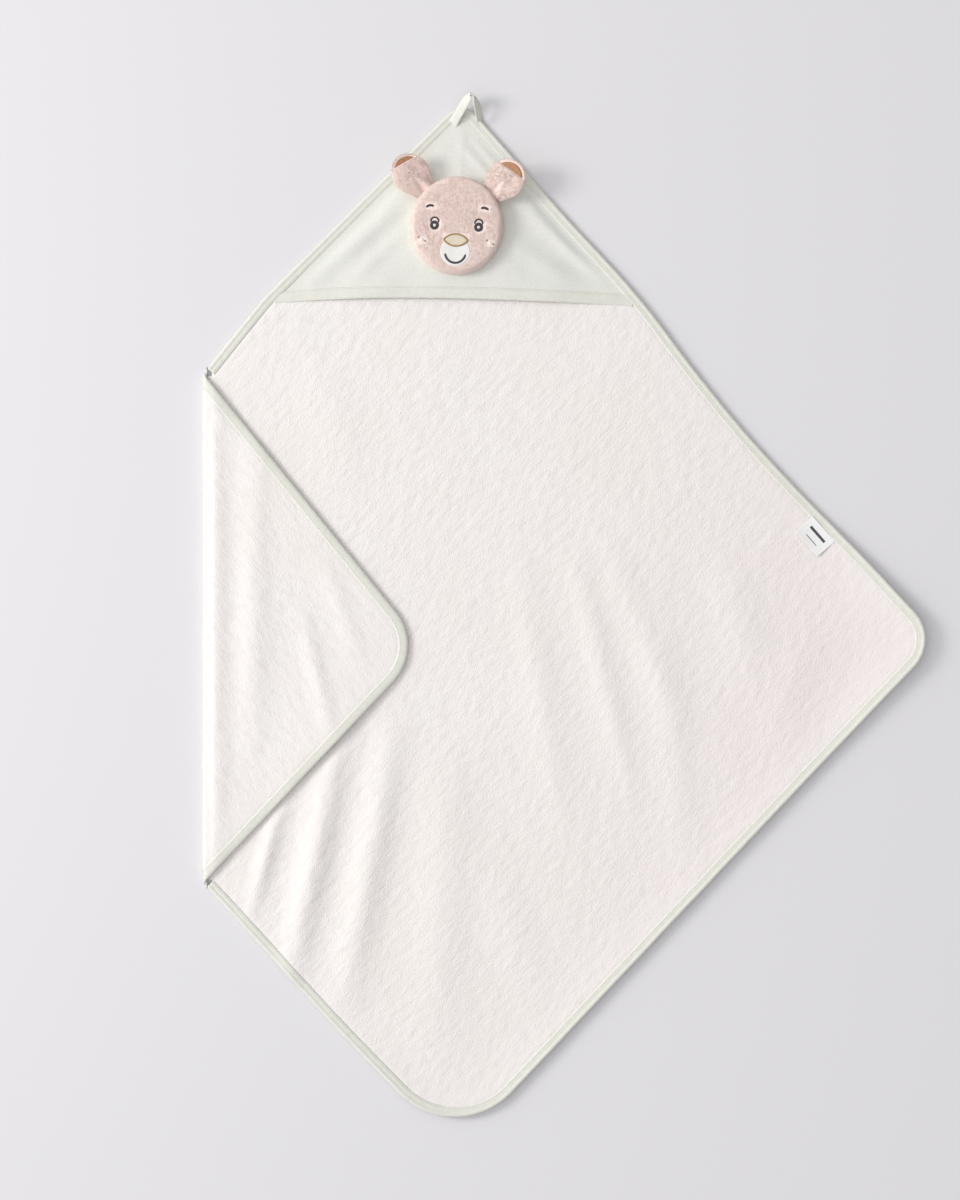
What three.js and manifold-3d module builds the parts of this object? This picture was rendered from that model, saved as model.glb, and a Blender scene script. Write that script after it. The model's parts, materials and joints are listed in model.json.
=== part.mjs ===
// Hooded baby towel: a square terry sheet with a bound edge, a jersey hood over one corner with a
// plush animal face, a hanging loop at the tip and a care label. It lies on its underside, and one
// side corner is folded over onto the top. Millimetres, +Z up, +Y towards the hood.
import * as THREE from 'three';
import { mergeVertices } from 'three/addons/utils/BufferGeometryUtils.js';
import Module from 'manifold-3d';

const wasm = await Module();
wasm.setup();

// ---------------------------------------------------------------- driving dimensions

const clearance = 0.3;

// Corners of the cut cloth before rounding, in counterclockwise order. The cloth is an 800 mm
// square that lies slightly out of square, and its equal corners lie rounder or sharper.
// The left corner is given as if it were not folded over.
const hoodTip = new THREE.Vector2(-6, 620);
const hoodSideBend = new THREE.Vector2(-232, 394);
const leftCorner = new THREE.Vector2(-544, -2);
const bottomCorner = new THREE.Vector2(-14, -573);
const rightCorner = new THREE.Vector2(533, 7);
const hoodTipRadius = 22;
const leftCornerRadius = 60;
const bottomCornerRadius = 88;
const rightCornerRadius = 46;

const sheetThickness = 4;
const bindingThickness = 4.6;
const bindingWidth = 11;
const bindingWall = 0.7;
const bindingEdge = 0.9;

const foldX = -296;
const foldTop = 308;
const foldBottom = -265;
const foldRollRadius = 4.7;
const foldGap = 1.5;
const foldZ = sheetThickness + foldGap / 2;

const hoodHingeY = 372;
const mouthY = 386;
const hemWidth = 13.6;
const panelTopZ = 11.2;
const panelThickness = 1.2;
const hemTopZ = 11.8;
const hemThickness = 2.2;
const panelSlopeRun = 22;
const panelWallRun = 4;

const faceCentre = new THREE.Vector2(-12.7, 475);
const faceTurn = THREE.MathUtils.degToRad(-2.8);
const faceRadiusX = 52.4;
const faceRadiusY = 55.6;
const faceHeight = 13.5;
const faceEdgeRadius = 10;
const plushThickness = 3;

const earReach = 55.5;
const earBaseHeight = 4.5;
const earSplay = THREE.MathUtils.degToRad(45);
const earTilt = THREE.MathUtils.degToRad(27);
const earWidth = 43;
const earLength = 48;
const earThickness = 7;
const earBaseGap = 3;
const earBaseHalfWidth = 15;
const earLiningThickness = 1.2;
const earLiningTurn = THREE.MathUtils.degToRad(12);
const earLiningReach = THREE.MathUtils.degToRad(48);

const stitchHeight = 1;
const eyeSpacing = 49.6;
const eyeY = -2.2;
const eyeRadius = 5.2;
const eyeLightRadius = 2.2;
const eyelidAboveEye = 4.9;
const eyelidRadius = 4.3;
const eyelidWidth = 1.6;
const browSpacing = 60;
const browY = 13.5;
const browRadius = 6.5;
const browLean = 10;
const browReach = 45;
const noseY = -17.9;
const noseWidth = 29;
const noseDepth = 15;
const noseOutlineWidth = 1.8;
const muzzleY = -31;
const muzzleRadiusX = 17;
const muzzleRadiusY = 16;
const smileY = -32;
const smileRadius = 11.5;
const threadWidth = 2;
const cheekSpacing = 77;
const cheekY = -19.2;
const cheekRadius = 2.2;

const loopBase = new THREE.Vector3(-4, 592, 8.6);
const loopTilt = THREE.MathUtils.degToRad(35);
const loopHalfSpan = 16;
const loopHeight = 38;
const loopBaseGap = 2;
const tapeThickness = 1.6;
const loopTapeWidth = 8;

const labelFromHoodTip = 636;
const labelInset = 16.3;
const labelLength = 38;
const labelDepth = 25;
const labelThickness = 0.5;

// ---------------------------------------------------------------- materials

function fabric(color, roughness) {
  return new THREE.MeshStandardMaterial({ color, roughness, metalness: 0 });
}

const terry = fabric(0xf3f0ec, 0.95);
const mintJersey = fabric(0xe3e6dc, 0.85);
const mintTape = fabric(0xdde4d8, 0.8);
const pinkPlush = fabric(0xe5cac0, 0.95);
const padding = fabric(0xf6f4f0, 1);
const tanLining = fabric(0xc49a76, 0.85);
const whiteThread = fabric(0xfaf9f6, 0.6);
const creamThread = fabric(0xe9dcc0, 0.55);
const goldThread = fabric(0xb9974a, 0.5);
const darkThread = fabric(0x3a363c, 0.5);
const satin = fabric(0xf7f7f5, 0.4);

// ---------------------------------------------------------------- solids

function toSolid(geometry) {
  const bare = geometry.clone();
  bare.deleteAttribute('normal');
  bare.deleteAttribute('uv');
  const merged = mergeVertices(bare, 1e-4);
  return new wasm.Manifold(new wasm.Mesh({
    numProp: 3,
    vertProperties: new Float32Array(merged.attributes.position.array),
    triVerts: new Uint32Array(merged.index.array),
  }));
}

function toGeometry(solid) {
  const mesh = solid.getMesh();
  const geometry = new THREE.BufferGeometry();
  geometry.setAttribute('position', new THREE.BufferAttribute(mesh.vertProperties, 3));
  geometry.setIndex(new THREE.BufferAttribute(mesh.triVerts, 1));
  geometry.computeVertexNormals();
  return geometry;
}

function extrude(shape, bottom, top, curveSegments = 8) {
  const geometry = new THREE.ExtrudeGeometry(shape, {
    depth: top - bottom,
    bevelEnabled: false,
    curveSegments,
  });
  return geometry.translate(0, 0, bottom);
}

function slab(shape, bottom, top) {
  return toSolid(extrude(shape, bottom, top));
}

function block(low, high) {
  const size = high.clone().sub(low);
  const centre = low.clone().add(high).multiplyScalar(0.5);
  const geometry = new THREE.BoxGeometry(size.x, size.y, size.z);
  return toSolid(geometry.translate(centre.x, centre.y, centre.z));
}

// A region of the cloth in plan, through its whole height.
function region({ left = -900, right = 900, front = -900, back = 900 }) {
  return block(new THREE.Vector3(left, front, -50), new THREE.Vector3(right, back, 100));
}

// ---------------------------------------------------------------- outline of the cloth

const outlineCorners = [
  { point: hoodTip, radius: hoodTipRadius },
  { point: hoodSideBend, radius: 0 },
  { point: leftCorner, radius: leftCornerRadius },
  { point: bottomCorner, radius: bottomCornerRadius },
  { point: rightCorner, radius: rightCornerRadius },
];

// The straight edge from one point to the next, moved inwards by inset.
function insetEdge(from, to, inset) {
  const direction = to.clone().sub(from).normalize();
  const inward = new THREE.Vector2(-direction.y, direction.x);
  return { start: from.clone().addScaledVector(inward, inset), direction, inward };
}

function crossing(edgeA, edgeB) {
  const between = edgeB.start.clone().sub(edgeA.start);
  const along = between.cross(edgeB.direction) / edgeA.direction.cross(edgeB.direction);
  return edgeA.start.clone().addScaledVector(edgeA.direction, along);
}

// The cloth's outline moved inwards by inset, with its corners rounded.
function clothOutline(inset) {
  const shape = new THREE.Shape();
  const count = outlineCorners.length;
  const points = outlineCorners.map((corner) => corner.point);
  for (let i = 0; i < count; i += 1) {
    const before = insetEdge(points[(i + count - 1) % count], points[i], inset);
    const after = insetEdge(points[i], points[(i + 1) % count], inset);
    const corner = crossing(before, after);
    const radius = Math.max(outlineCorners[i].radius - inset, 0);
    if (radius < 1) {
      shape.lineTo(corner.x, corner.y);
      continue;
    }
    const halfTurn = before.direction.angleTo(after.direction) / 2;
    const tangent = corner.clone().addScaledVector(before.direction, -radius * Math.tan(halfTurn));
    const centre = tangent.clone().addScaledVector(before.inward, radius);
    const startAngle = before.inward.angle() + Math.PI;
    const endAngle = after.inward.angle() + Math.PI;
    if (i === 0) shape.moveTo(tangent.x, tangent.y);
    shape.absarc(centre.x, centre.y, radius, startAngle, endAngle, false);
  }
  shape.closePath();
  return shape;
}

// ---------------------------------------------------------------- terry sheet and its binding

// The whole terry sheet, with its edge thinned to fit inside the folded tape.
function wholeSheet() {
  const tongueBottom = bindingWall + clearance;
  const tongueTop = bindingThickness - bindingWall - clearance;
  const pile = slab(clothOutline(bindingWidth + clearance), 0, sheetThickness);
  const tongue = slab(clothOutline(bindingEdge + clearance), tongueBottom, tongueTop);
  return pile.add(tongue);
}

// The whole tape: a U in section, open towards the middle of the cloth.
function wholeBinding() {
  const outside = slab(clothOutline(0), 0, bindingThickness);
  const middle = slab(clothOutline(bindingWidth), -1, bindingThickness + 1);
  const slot = slab(clothOutline(bindingEdge), bindingWall, bindingThickness - bindingWall);
  return outside.subtract(middle).subtract(slot);
}

// The rolled cloth along the fold, round the fold's axis.
function foldRoll() {
  const geometry = new THREE.CylinderGeometry(foldRollRadius, foldRollRadius, foldTop - foldBottom, 20);
  return toSolid(geometry.translate(foldX, (foldTop + foldBottom) / 2, foldZ));
}

const half = clearance / 2;
const hoodRegion = region({ front: hoodHingeY + half });
const middleRegion = region({ left: foldX + foldRollRadius + clearance, back: hoodHingeY - half });
const flapRegion = region({ right: foldX, back: hoodHingeY - half });
const flapTapeRegion = region({ right: foldX - foldRollRadius - clearance, back: hoodHingeY - half });

const leftOfHoodTip = region({ right: hoodTip.x - half });
const rightOfHoodTip = region({ left: hoodTip.x + half });
const upperLeft = region({ right: 0, front: 0 });
const upperRight = region({ left: 0, front: rightCorner.y + half });
const lowerRight = region({ left: bottomCorner.x + half, back: rightCorner.y - half });
const lowerLeft = region({ right: bottomCorner.x - half, back: 0 });

const sheet = wholeSheet();
const binding = wholeBinding();

// ---------------------------------------------------------------- hood

// Triangle of the hood inside both bound edges, from its tip down to a straight mouth edge.
function hoodTriangle(inset, frontY) {
  const leftEdge = insetEdge(hoodTip, hoodSideBend, inset);
  const rightEdge = insetEdge(rightCorner, hoodTip, inset);
  const mouth = { start: new THREE.Vector2(0, frontY), direction: new THREE.Vector2(1, 0) };
  return [crossing(leftEdge, rightEdge), crossing(leftEdge, mouth), crossing(rightEdge, mouth)];
}

// A solid with triangular ends of different size, as the inside or outside of a low tent.
function tent(inset, topZ, frontY) {
  const bottomZ = sheetThickness + clearance;
  const bottom = hoodTriangle(inset, frontY);
  const top = hoodTriangle(inset + panelSlopeRun, frontY);
  const corners = [
    ...bottom.map((p) => [p.x, p.y, bottomZ]),
    ...top.map((p) => [p.x, p.y, topZ]),
  ];
  const faces = [0, 2, 1, 3, 4, 5];
  for (let i = 0; i < 3; i += 1) {
    const next = (i + 1) % 3;
    faces.push(i, next, next + 3, i, next + 3, i + 3);
  }
  const geometry = new THREE.BufferGeometry();
  geometry.setAttribute('position', new THREE.Float32BufferAttribute(corners.flat(), 3));
  geometry.setIndex(faces);
  return toSolid(geometry);
}

// A stretch of tent-shaped cloth, open underneath and at its mouth.
function tentCloth(topZ, thickness, frontY, backY) {
  const inset = bindingWidth + clearance;
  const outside = tent(inset, topZ, frontY);
  const inside = tent(inset + panelWallRun, topZ - thickness, frontY - 10);
  const insideBinding = slab(clothOutline(inset), 0, topZ + 1);
  return outside.subtract(inside).intersect(insideBinding).intersect(region({ back: backY }));
}

// ---------------------------------------------------------------- face

// A round cap with a flat front and a rounded rim, as a lathe profile scaled to an oval.
function cap(inset, bottom, top) {
  const rim = faceEdgeRadius - inset;
  const radius = faceRadiusX - inset;
  const outline = [new THREE.Vector2(0, top)];
  const steps = 5;
  for (let i = 0; i <= steps; i += 1) {
    const angle = (Math.PI / 2) * (1 - i / steps);
    outline.push(new THREE.Vector2(
      radius - rim + rim * Math.cos(angle),
      top - rim + rim * Math.sin(angle),
    ));
  }
  outline.push(new THREE.Vector2(radius, bottom));
  return outline;
}

function ovalLathe(profile) {
  const geometry = new THREE.LatheGeometry(profile.reverse(), 36);
  geometry.rotateX(Math.PI / 2);
  return geometry.scale(1, faceRadiusY / faceRadiusX, 1);
}

function facePlush() {
  const outside = cap(0, 0, faceHeight);
  const inside = cap(plushThickness, 0, faceHeight - plushThickness);
  return ovalLathe([...outside, ...inside.reverse()]);
}

function facePadding() {
  const inset = plushThickness + clearance;
  const profile = cap(inset, 0, faceHeight - inset);
  return ovalLathe([...profile, new THREE.Vector2(0, 0)]);
}

function disc(radiusX, radiusY = radiusX) {
  const shape = new THREE.Shape();
  shape.absellipse(0, 0, radiusX, radiusY, 0, Math.PI * 2);
  return shape;
}

function ring(outer, inner) {
  const shape = disc(outer);
  shape.holes.push(disc(inner));
  return shape;
}

// A curved band of thread round the origin, from one angle to another, in degrees.
function arcBand(radius, width, from, to) {
  const start = THREE.MathUtils.degToRad(from);
  const end = THREE.MathUtils.degToRad(to);
  const shape = new THREE.Shape();
  shape.absarc(0, 0, radius + width / 2, start, end, false);
  shape.absarc(0, 0, radius - width / 2, end, start, true);
  return shape;
}

// An almond: two equal arcs that meet in a point at each side.
function almond(width, depth) {
  const radius = (width * width + depth * depth) / (4 * depth);
  const centre = radius - depth / 2;
  const reach = Math.asin(width / 2 / radius);
  const shape = new THREE.Shape();
  shape.absarc(0, -centre, radius, Math.PI / 2 - reach, Math.PI / 2 + reach, false);
  shape.absarc(0, centre, radius, -Math.PI / 2 - reach, -Math.PI / 2 + reach, false);
  return shape;
}

function almondRing(width, depth, band) {
  const shape = almond(width, depth);
  shape.holes.push(almond(width - 4 * band, depth - 2 * band));
  return shape;
}

// ---------------------------------------------------------------- ears, loop and label

// The lobe's oval runs from the tip to the straight sewn base, which cuts it at earBaseAngle.
const earBaseAngle = Math.acos(earBaseHalfWidth / (earWidth / 2));
const earOvalRadius = (earLength - earBaseGap) / (1 + Math.sin(earBaseAngle));
const earCentreY = earLength - earOvalRadius;

function earOutline() {
  const shape = new THREE.Shape();
  shape.absellipse(
    0, earCentreY, earWidth / 2, earOvalRadius, -earBaseAngle, Math.PI + earBaseAngle, false,
  );
  shape.closePath();
  return shape;
}

// The part of the lining that shows where the tip turns over; side is -1 for left, 1 for right.
function earLiningOutline(side) {
  const middle = Math.PI / 2 + side * earLiningTurn;
  const shape = new THREE.Shape();
  shape.absellipse(
    0, earCentreY, earWidth / 2 - 1, earOvalRadius - 1,
    middle - earLiningReach, middle + earLiningReach, false,
  );
  shape.closePath();
  return shape;
}

function addEar(parent, side, name) {
  const ear = new THREE.Group();
  ear.position.set(
    side * earReach * Math.sin(earSplay), earReach * Math.cos(earSplay), earBaseHeight,
  );
  ear.rotation.order = 'ZXY';
  ear.rotation.set(earTilt, 0, -side * earSplay);
  parent.add(ear);
  const liningBottom = earThickness / 2 + clearance;
  const lobe = extrude(earOutline(), -earThickness / 2, earThickness / 2);
  const lining = extrude(earLiningOutline(side), liningBottom, liningBottom + earLiningThickness);
  add(`ear_${name}`, lobe, pinkPlush, ear);
  add(`ear_lining_${name}`, lining, tanLining, ear);
}

function loopOutline() {
  const inner = loopHalfSpan - tapeThickness;
  const arcY = loopHeight - loopHalfSpan;
  const shape = new THREE.Shape();
  shape.moveTo(-loopHalfSpan, loopBaseGap);
  shape.lineTo(-inner, loopBaseGap);
  shape.lineTo(-inner, arcY);
  shape.absarc(0, arcY, inner, Math.PI, 0, true);
  shape.lineTo(inner, loopBaseGap);
  shape.lineTo(loopHalfSpan, loopBaseGap);
  shape.lineTo(loopHalfSpan, arcY);
  shape.absarc(0, arcY, loopHalfSpan, 0, Math.PI, false);
  shape.closePath();
  return shape;
}

// ---------------------------------------------------------------- assembly

const towel = new THREE.Group();

function add(name, geometry, material, parent = towel) {
  const mesh = new THREE.Mesh(geometry, material);
  mesh.name = name;
  parent.add(mesh);
  return mesh;
}

function addMiddle() {
  add('terry_sheet_main', toGeometry(sheet.intersect(middleRegion)), terry);
  const tape = binding.intersect(middleRegion);
  add('binding_upper_left', toGeometry(tape.intersect(upperLeft)), mintTape);
  add('binding_upper_right', toGeometry(tape.intersect(upperRight)), mintTape);
  add('binding_lower_right', toGeometry(tape.intersect(lowerRight)), mintTape);
  add('binding_lower_left', toGeometry(tape.intersect(lowerLeft)), mintTape);
}

// The flap is the cloth beyond the fold line, turned half a turn about the fold's axis.
function addFlap() {
  const folded = new THREE.Group();
  folded.position.set(foldX, 0, foldZ);
  folded.rotation.y = Math.PI;
  towel.add(folded);
  const cloth = toGeometry(sheet.intersect(flapRegion).add(foldRoll()));
  const tape = toGeometry(binding.intersect(flapTapeRegion));
  add('terry_sheet_flap', cloth.translate(-foldX, 0, -foldZ), terry, folded);
  add('binding_flap', tape.translate(-foldX, 0, -foldZ), mintTape, folded);
}

function addHood() {
  const tape = binding.intersect(hoodRegion);
  const panelFront = mouthY + hemWidth + clearance;
  add('terry_sheet_hood_corner', toGeometry(sheet.intersect(hoodRegion)), terry);
  add('binding_hood_left', toGeometry(tape.intersect(leftOfHoodTip)), mintTape);
  add('binding_hood_right', toGeometry(tape.intersect(rightOfHoodTip)), mintTape);
  add('hood_panel', toGeometry(tentCloth(panelTopZ, panelThickness, panelFront, 900)), mintJersey);
  add('hood_mouth_hem', toGeometry(tentCloth(hemTopZ, hemThickness, mouthY, mouthY + hemWidth)), mintTape);
}

function addFace() {
  const face = new THREE.Group();
  face.position.set(faceCentre.x, faceCentre.y, panelTopZ + clearance);
  face.rotation.z = faceTurn;
  towel.add(face);

  // Embroidery lies in two layers: on the plush, and on the muzzle.
  const onPlush = faceHeight + clearance;
  const onMuzzle = onPlush + stitchHeight + clearance;
  const stitch = (name, shape, material, x, y, z) => {
    add(name, extrude(shape, 0, stitchHeight), material, face).position.set(x, y, z);
  };

  add('face_plush', facePlush(), pinkPlush, face);
  add('face_padding', facePadding(), padding, face);
  stitch('muzzle_patch', disc(muzzleRadiusX, muzzleRadiusY), whiteThread, 0, muzzleY, onPlush);
  const fillWidth = noseWidth - 4 * noseOutlineWidth - 4 * clearance;
  const fillDepth = noseDepth - 2 * noseOutlineWidth - 2 * clearance;
  stitch('nose_outline', almondRing(noseWidth, noseDepth, noseOutlineWidth), goldThread, 0, noseY, onMuzzle);
  stitch('nose_fill', almond(fillWidth, fillDepth), creamThread, 0, noseY, onMuzzle);
  stitch('smile', arcBand(smileRadius, threadWidth, 185, 355), darkThread, 0, smileY, onMuzzle);

  for (const [side, name] of [[-1, 'left'], [1, 'right']]) {
    const eyeX = (side * eyeSpacing) / 2;
    const eyeRing = ring(eyeRadius, eyeLightRadius + clearance);
    stitch(`eye_${name}`, eyeRing, darkThread, eyeX, eyeY, onPlush);
    stitch(`eye_light_${name}`, disc(eyeLightRadius), whiteThread, eyeX, eyeY, onPlush);
    const eyelid = arcBand(eyelidRadius, eyelidWidth, 0, 180);
    stitch(`eyelid_${name}`, eyelid, darkThread, eyeX, eyeY + eyelidAboveEye, onPlush);
    const browMiddle = 90 - side * browLean;
    const brow = arcBand(browRadius, threadWidth, browMiddle - browReach, browMiddle + browReach);
    stitch(`brow_${name}`, brow, darkThread, (side * browSpacing) / 2, browY, onPlush);
    const cheek = disc(cheekRadius);
    stitch(`cheek_spot_${name}`, cheek, whiteThread, (side * cheekSpacing) / 2, cheekY, onPlush);
    addEar(face, side, name);
  }
}

function addLoop() {
  const loop = extrude(loopOutline(), -loopTapeWidth / 2, loopTapeWidth / 2);
  const mesh = add('hanging_loop', loop, mintTape);
  mesh.position.copy(loopBase);
  mesh.rotation.x = loopTilt;
}

// The label's sewn edge runs beside the inner edge of the tape, on the upper right side.
function addLabel() {
  const edge = insetEdge(rightCorner, hoodTip, labelInset);
  const fromRightCorner = rightCorner.distanceTo(hoodTip) - labelFromHoodTip;
  const middle = edge.start.clone().addScaledVector(edge.direction, fromRightCorner);
  const label = new THREE.Shape();
  label.moveTo(-labelLength / 2, 0);
  label.lineTo(labelLength / 2, 0);
  label.lineTo(labelLength / 2, labelDepth);
  label.lineTo(-labelLength / 2, labelDepth);
  label.closePath();
  const mesh = add('care_label', extrude(label, 0, labelThickness), satin);
  mesh.position.set(middle.x, middle.y, sheetThickness + clearance);
  mesh.rotation.z = edge.direction.angle();
}

addMiddle();
addFlap();
addHood();
addFace();
addLoop();
addLabel();

export default towel;
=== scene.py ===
import json
import math

import bmesh
import bpy
import numpy as np
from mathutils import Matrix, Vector


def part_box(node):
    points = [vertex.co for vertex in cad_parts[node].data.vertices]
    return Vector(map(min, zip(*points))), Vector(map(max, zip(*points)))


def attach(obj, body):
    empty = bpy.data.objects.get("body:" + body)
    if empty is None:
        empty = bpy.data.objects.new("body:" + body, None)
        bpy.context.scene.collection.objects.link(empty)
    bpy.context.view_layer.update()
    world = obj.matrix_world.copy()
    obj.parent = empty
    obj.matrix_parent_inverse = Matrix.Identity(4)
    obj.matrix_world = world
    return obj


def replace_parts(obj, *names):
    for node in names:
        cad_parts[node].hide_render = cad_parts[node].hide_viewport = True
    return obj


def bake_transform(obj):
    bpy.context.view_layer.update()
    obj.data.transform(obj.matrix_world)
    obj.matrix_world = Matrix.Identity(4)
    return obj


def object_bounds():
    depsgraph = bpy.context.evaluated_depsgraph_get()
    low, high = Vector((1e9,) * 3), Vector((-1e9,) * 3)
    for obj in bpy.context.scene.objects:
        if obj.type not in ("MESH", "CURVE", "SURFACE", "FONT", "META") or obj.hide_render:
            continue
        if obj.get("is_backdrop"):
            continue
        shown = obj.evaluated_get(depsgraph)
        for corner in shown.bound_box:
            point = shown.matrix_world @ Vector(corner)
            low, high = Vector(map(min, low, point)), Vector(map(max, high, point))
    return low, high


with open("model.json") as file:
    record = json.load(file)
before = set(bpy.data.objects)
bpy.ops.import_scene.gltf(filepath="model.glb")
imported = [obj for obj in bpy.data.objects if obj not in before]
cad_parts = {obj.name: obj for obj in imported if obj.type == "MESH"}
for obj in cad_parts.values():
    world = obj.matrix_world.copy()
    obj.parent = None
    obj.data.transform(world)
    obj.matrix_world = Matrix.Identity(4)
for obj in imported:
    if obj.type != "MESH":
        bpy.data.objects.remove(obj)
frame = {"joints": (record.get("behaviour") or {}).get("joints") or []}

cad_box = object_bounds()
joints = {joint["name"]: joint for joint in frame["joints"]}
MM = 0.001


def smoothstep(value, low, high):
    t = np.clip((np.asarray(value, float) - low) / (high - low), 0, 1)
    return t * t * (3 - 2 * t)


def unit(vectors):
    """One vector, or a row of them, brought to length 1."""
    return vectors / np.linalg.norm(vectors, axis=-1, keepdims=True)


def pairs(x, y):
    """Two rows of values as one row of pairs."""
    return np.stack([x, y], axis=1)


def joint_place(name):
    """A joint's point and its axis, as numpy vectors."""
    joint = joints[name]
    return np.array(joint["pos_m"], float), unit(np.array(joint["axis"], float))


# ---- driving dimensions

# The cut cloth's corners before rounding, counterclockwise, as in the CAD model.
HOOD_TIP = (-0.006, 0.620)
HOOD_SIDE_BEND = (-0.232, 0.394)
LEFT_CORNER = (-0.544, -0.002)
BOTTOM_CORNER = (-0.014, -0.573)
RIGHT_CORNER = (0.533, 0.007)
HOOD_TIP_RADIUS = 0.022
SIDE_BEND_RADIUS = 0.07
LEFT_CORNER_RADIUS = 0.060
BOTTOM_CORNER_RADIUS = 0.088
RIGHT_CORNER_RADIUS = 0.046

FOLD_X, _, FOLD_Z = joints["corner_unfold"]["pos_m"]
SHEET = 4.0 * MM
BINDING_WIDTH = 11 * MM
CELL = 2.8 * MM
ROLL_LENGTH = math.pi * (FOLD_Z - SHEET / 2)

MOUTH_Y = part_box("hood_mouth_hem")[0].y
HEM_WIDTH = 13.6 * MM
POCKET_RISE = 5.6 * MM

face_low, face_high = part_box("face_plush")
FACE_X = (face_low.x + face_high.x) / 2
FACE_Y = (face_low.y + face_high.y) / 2
FACE_Z = face_low.z
FACE_RADIUS_X = 52.4 * MM
FACE_RADIUS_Y = 55.6 * MM
FACE_HEIGHT = face_high.z - face_low.z
FACE_TURN = math.radians(-2.8)


# ---- smooth random fields

def noise(x, y, size, seed):
    """Smooth random values from -1 to 1 over the plane, with lumps of about the given size."""
    table = np.random.default_rng(seed).uniform(-1, 1, (256, 256))
    u, v = np.asarray(x) / size + 1000.5, np.asarray(y) / size + 1000.5
    i, j = np.floor(u).astype(int), np.floor(v).astype(int)
    a, b = u - i, v - j
    a, b = a * a * (3 - 2 * a), b * b * (3 - 2 * b)
    i0, i1, j0, j1 = i % 256, (i + 1) % 256, j % 256, (j + 1) % 256
    low = table[i0, j0] * (1 - a) + table[i1, j0] * a
    high = table[i0, j1] * (1 - a) + table[i1, j1] * a
    return low * (1 - b) + high * b


def turned(x, y, angle):
    return x * math.cos(angle) + y * math.sin(angle), y * math.cos(angle) - x * math.sin(angle)


def ridge(x, y, start, end, width):
    """1 along the line from start to end, falling off to 0 over width to each side."""
    sx, sy = start
    dx, dy = end[0] - sx, end[1] - sy
    t = np.clip(((x - sx) * dx + (y - sy) * dy) / (dx * dx + dy * dy), 0, 1)
    away = np.hypot(x - sx - t * dx, y - sy - t * dy)
    return np.exp(-((away / width) ** 2)) * np.sin(np.pi * (0.12 + 0.76 * t))


# ---- outline of the cloth

class Outline:
    """The cloth's rounded outline: a path along its edge, and the distance in from the edge."""

    def __init__(self):
        # The roll at the fold takes up a little cloth, which the side corner is longer by.
        left = (LEFT_CORNER[0] - ROLL_LENGTH, LEFT_CORNER[1])
        self.points = np.array([HOOD_TIP, HOOD_SIDE_BEND, left, BOTTOM_CORNER, RIGHT_CORNER])
        self.radii = [
            HOOD_TIP_RADIUS, SIDE_BEND_RADIUS, LEFT_CORNER_RADIUS,
            BOTTOM_CORNER_RADIUS, RIGHT_CORNER_RADIUS,
        ]
        self.along = unit(np.roll(self.points, -1, axis=0) - self.points)
        self.inward = pairs(-self.along[:, 1], self.along[:, 0])
        self.centres = [self._centre(k) for k in range(len(self.radii))]

    def _centre(self, k):
        """The centre of corner k's arc: as far inside both its edges as its radius."""
        normals = np.array([self.inward[k - 1], self.inward[k]])
        return self.points[k] + np.linalg.solve(normals, [self.radii[k]] * 2)

    def depth(self, x, y):
        """How far inside the edge each point is; negative outside."""
        x, y = np.asarray(x, float), np.asarray(y, float)
        distances = [
            (x - p[0]) * n[0] + (y - p[1]) * n[1] for p, n in zip(self.points, self.inward)
        ]
        result = np.minimum.reduce(distances)
        for k, (centre, radius) in enumerate(zip(self.centres, self.radii)):
            vx, vy = x - centre[0], y - centre[1]
            before, after = -self.inward[k - 1], -self.inward[k]
            in_wedge = (before[0] * vy - before[1] * vx >= 0) & (vx * after[1] - vy * after[0] >= 0)
            result = np.where(in_wedge, radius - np.hypot(vx, vy), result)
        return result

    def _turn(self, k):
        """The bearing at which corner k's arc starts, and how far it turns."""
        start, end = [math.atan2(-side[1], -side[0]) for side in (self.inward[k - 1], self.inward[k])]
        return start, (end - start) % (2 * math.pi)

    def path(self, step):
        """Points and inward normals along the whole edge, from the hood's tip counterclockwise."""
        arcs = [(k, *self._turn(k), 24) for k in range(len(self.radii))]
        # The path starts and ends in the middle of the hood's tip.
        _, start, turn, _ = arcs[0]
        arcs[0] = (0, start + turn / 2, turn / 2, 24)
        arcs.append((0, start, turn / 2, 12))
        places, normals = [], []
        for k, start, turn, count in arcs:
            angles = start + turn * np.linspace(0, 1, count)
            ways = pairs(np.cos(angles), np.sin(angles))
            places.append(self.centres[k] + self.radii[k] * ways)
            normals.append(-ways)
        return resample(np.concatenate(places), step, np.concatenate(normals))


def lengths_along(points):
    """How far along a polyline each of its points is."""
    return np.concatenate([[0], np.cumsum(np.linalg.norm(np.diff(points, axis=0), axis=1))])


def resample(points, step, *others):
    """The points of a polyline at even steps, with other values carried along."""
    lengths = lengths_along(points)
    count = max(int(round(lengths[-1] / step)), 2)
    at = np.linspace(0, lengths[-1], count + 1)
    result = []
    for values in (points, *others):
        values = np.asarray(values, float)
        columns = [np.interp(at, lengths, values[:, k]) for k in range(values.shape[1])]
        result.append(np.stack(columns, axis=1))
    return result if others else result[0]


outline = Outline()


# ---- how the cloth lies

# How the sides bow inwards, or outwards if negative: side, middle as a share along it, spread, depth.
BOWS = [
    (4, 0.38, 0.19, 8.5 * MM),
    (4, 0.64, 0.10, -3.5 * MM),
    (2, 0.74, 0.13, -2.5 * MM),
]
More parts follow.
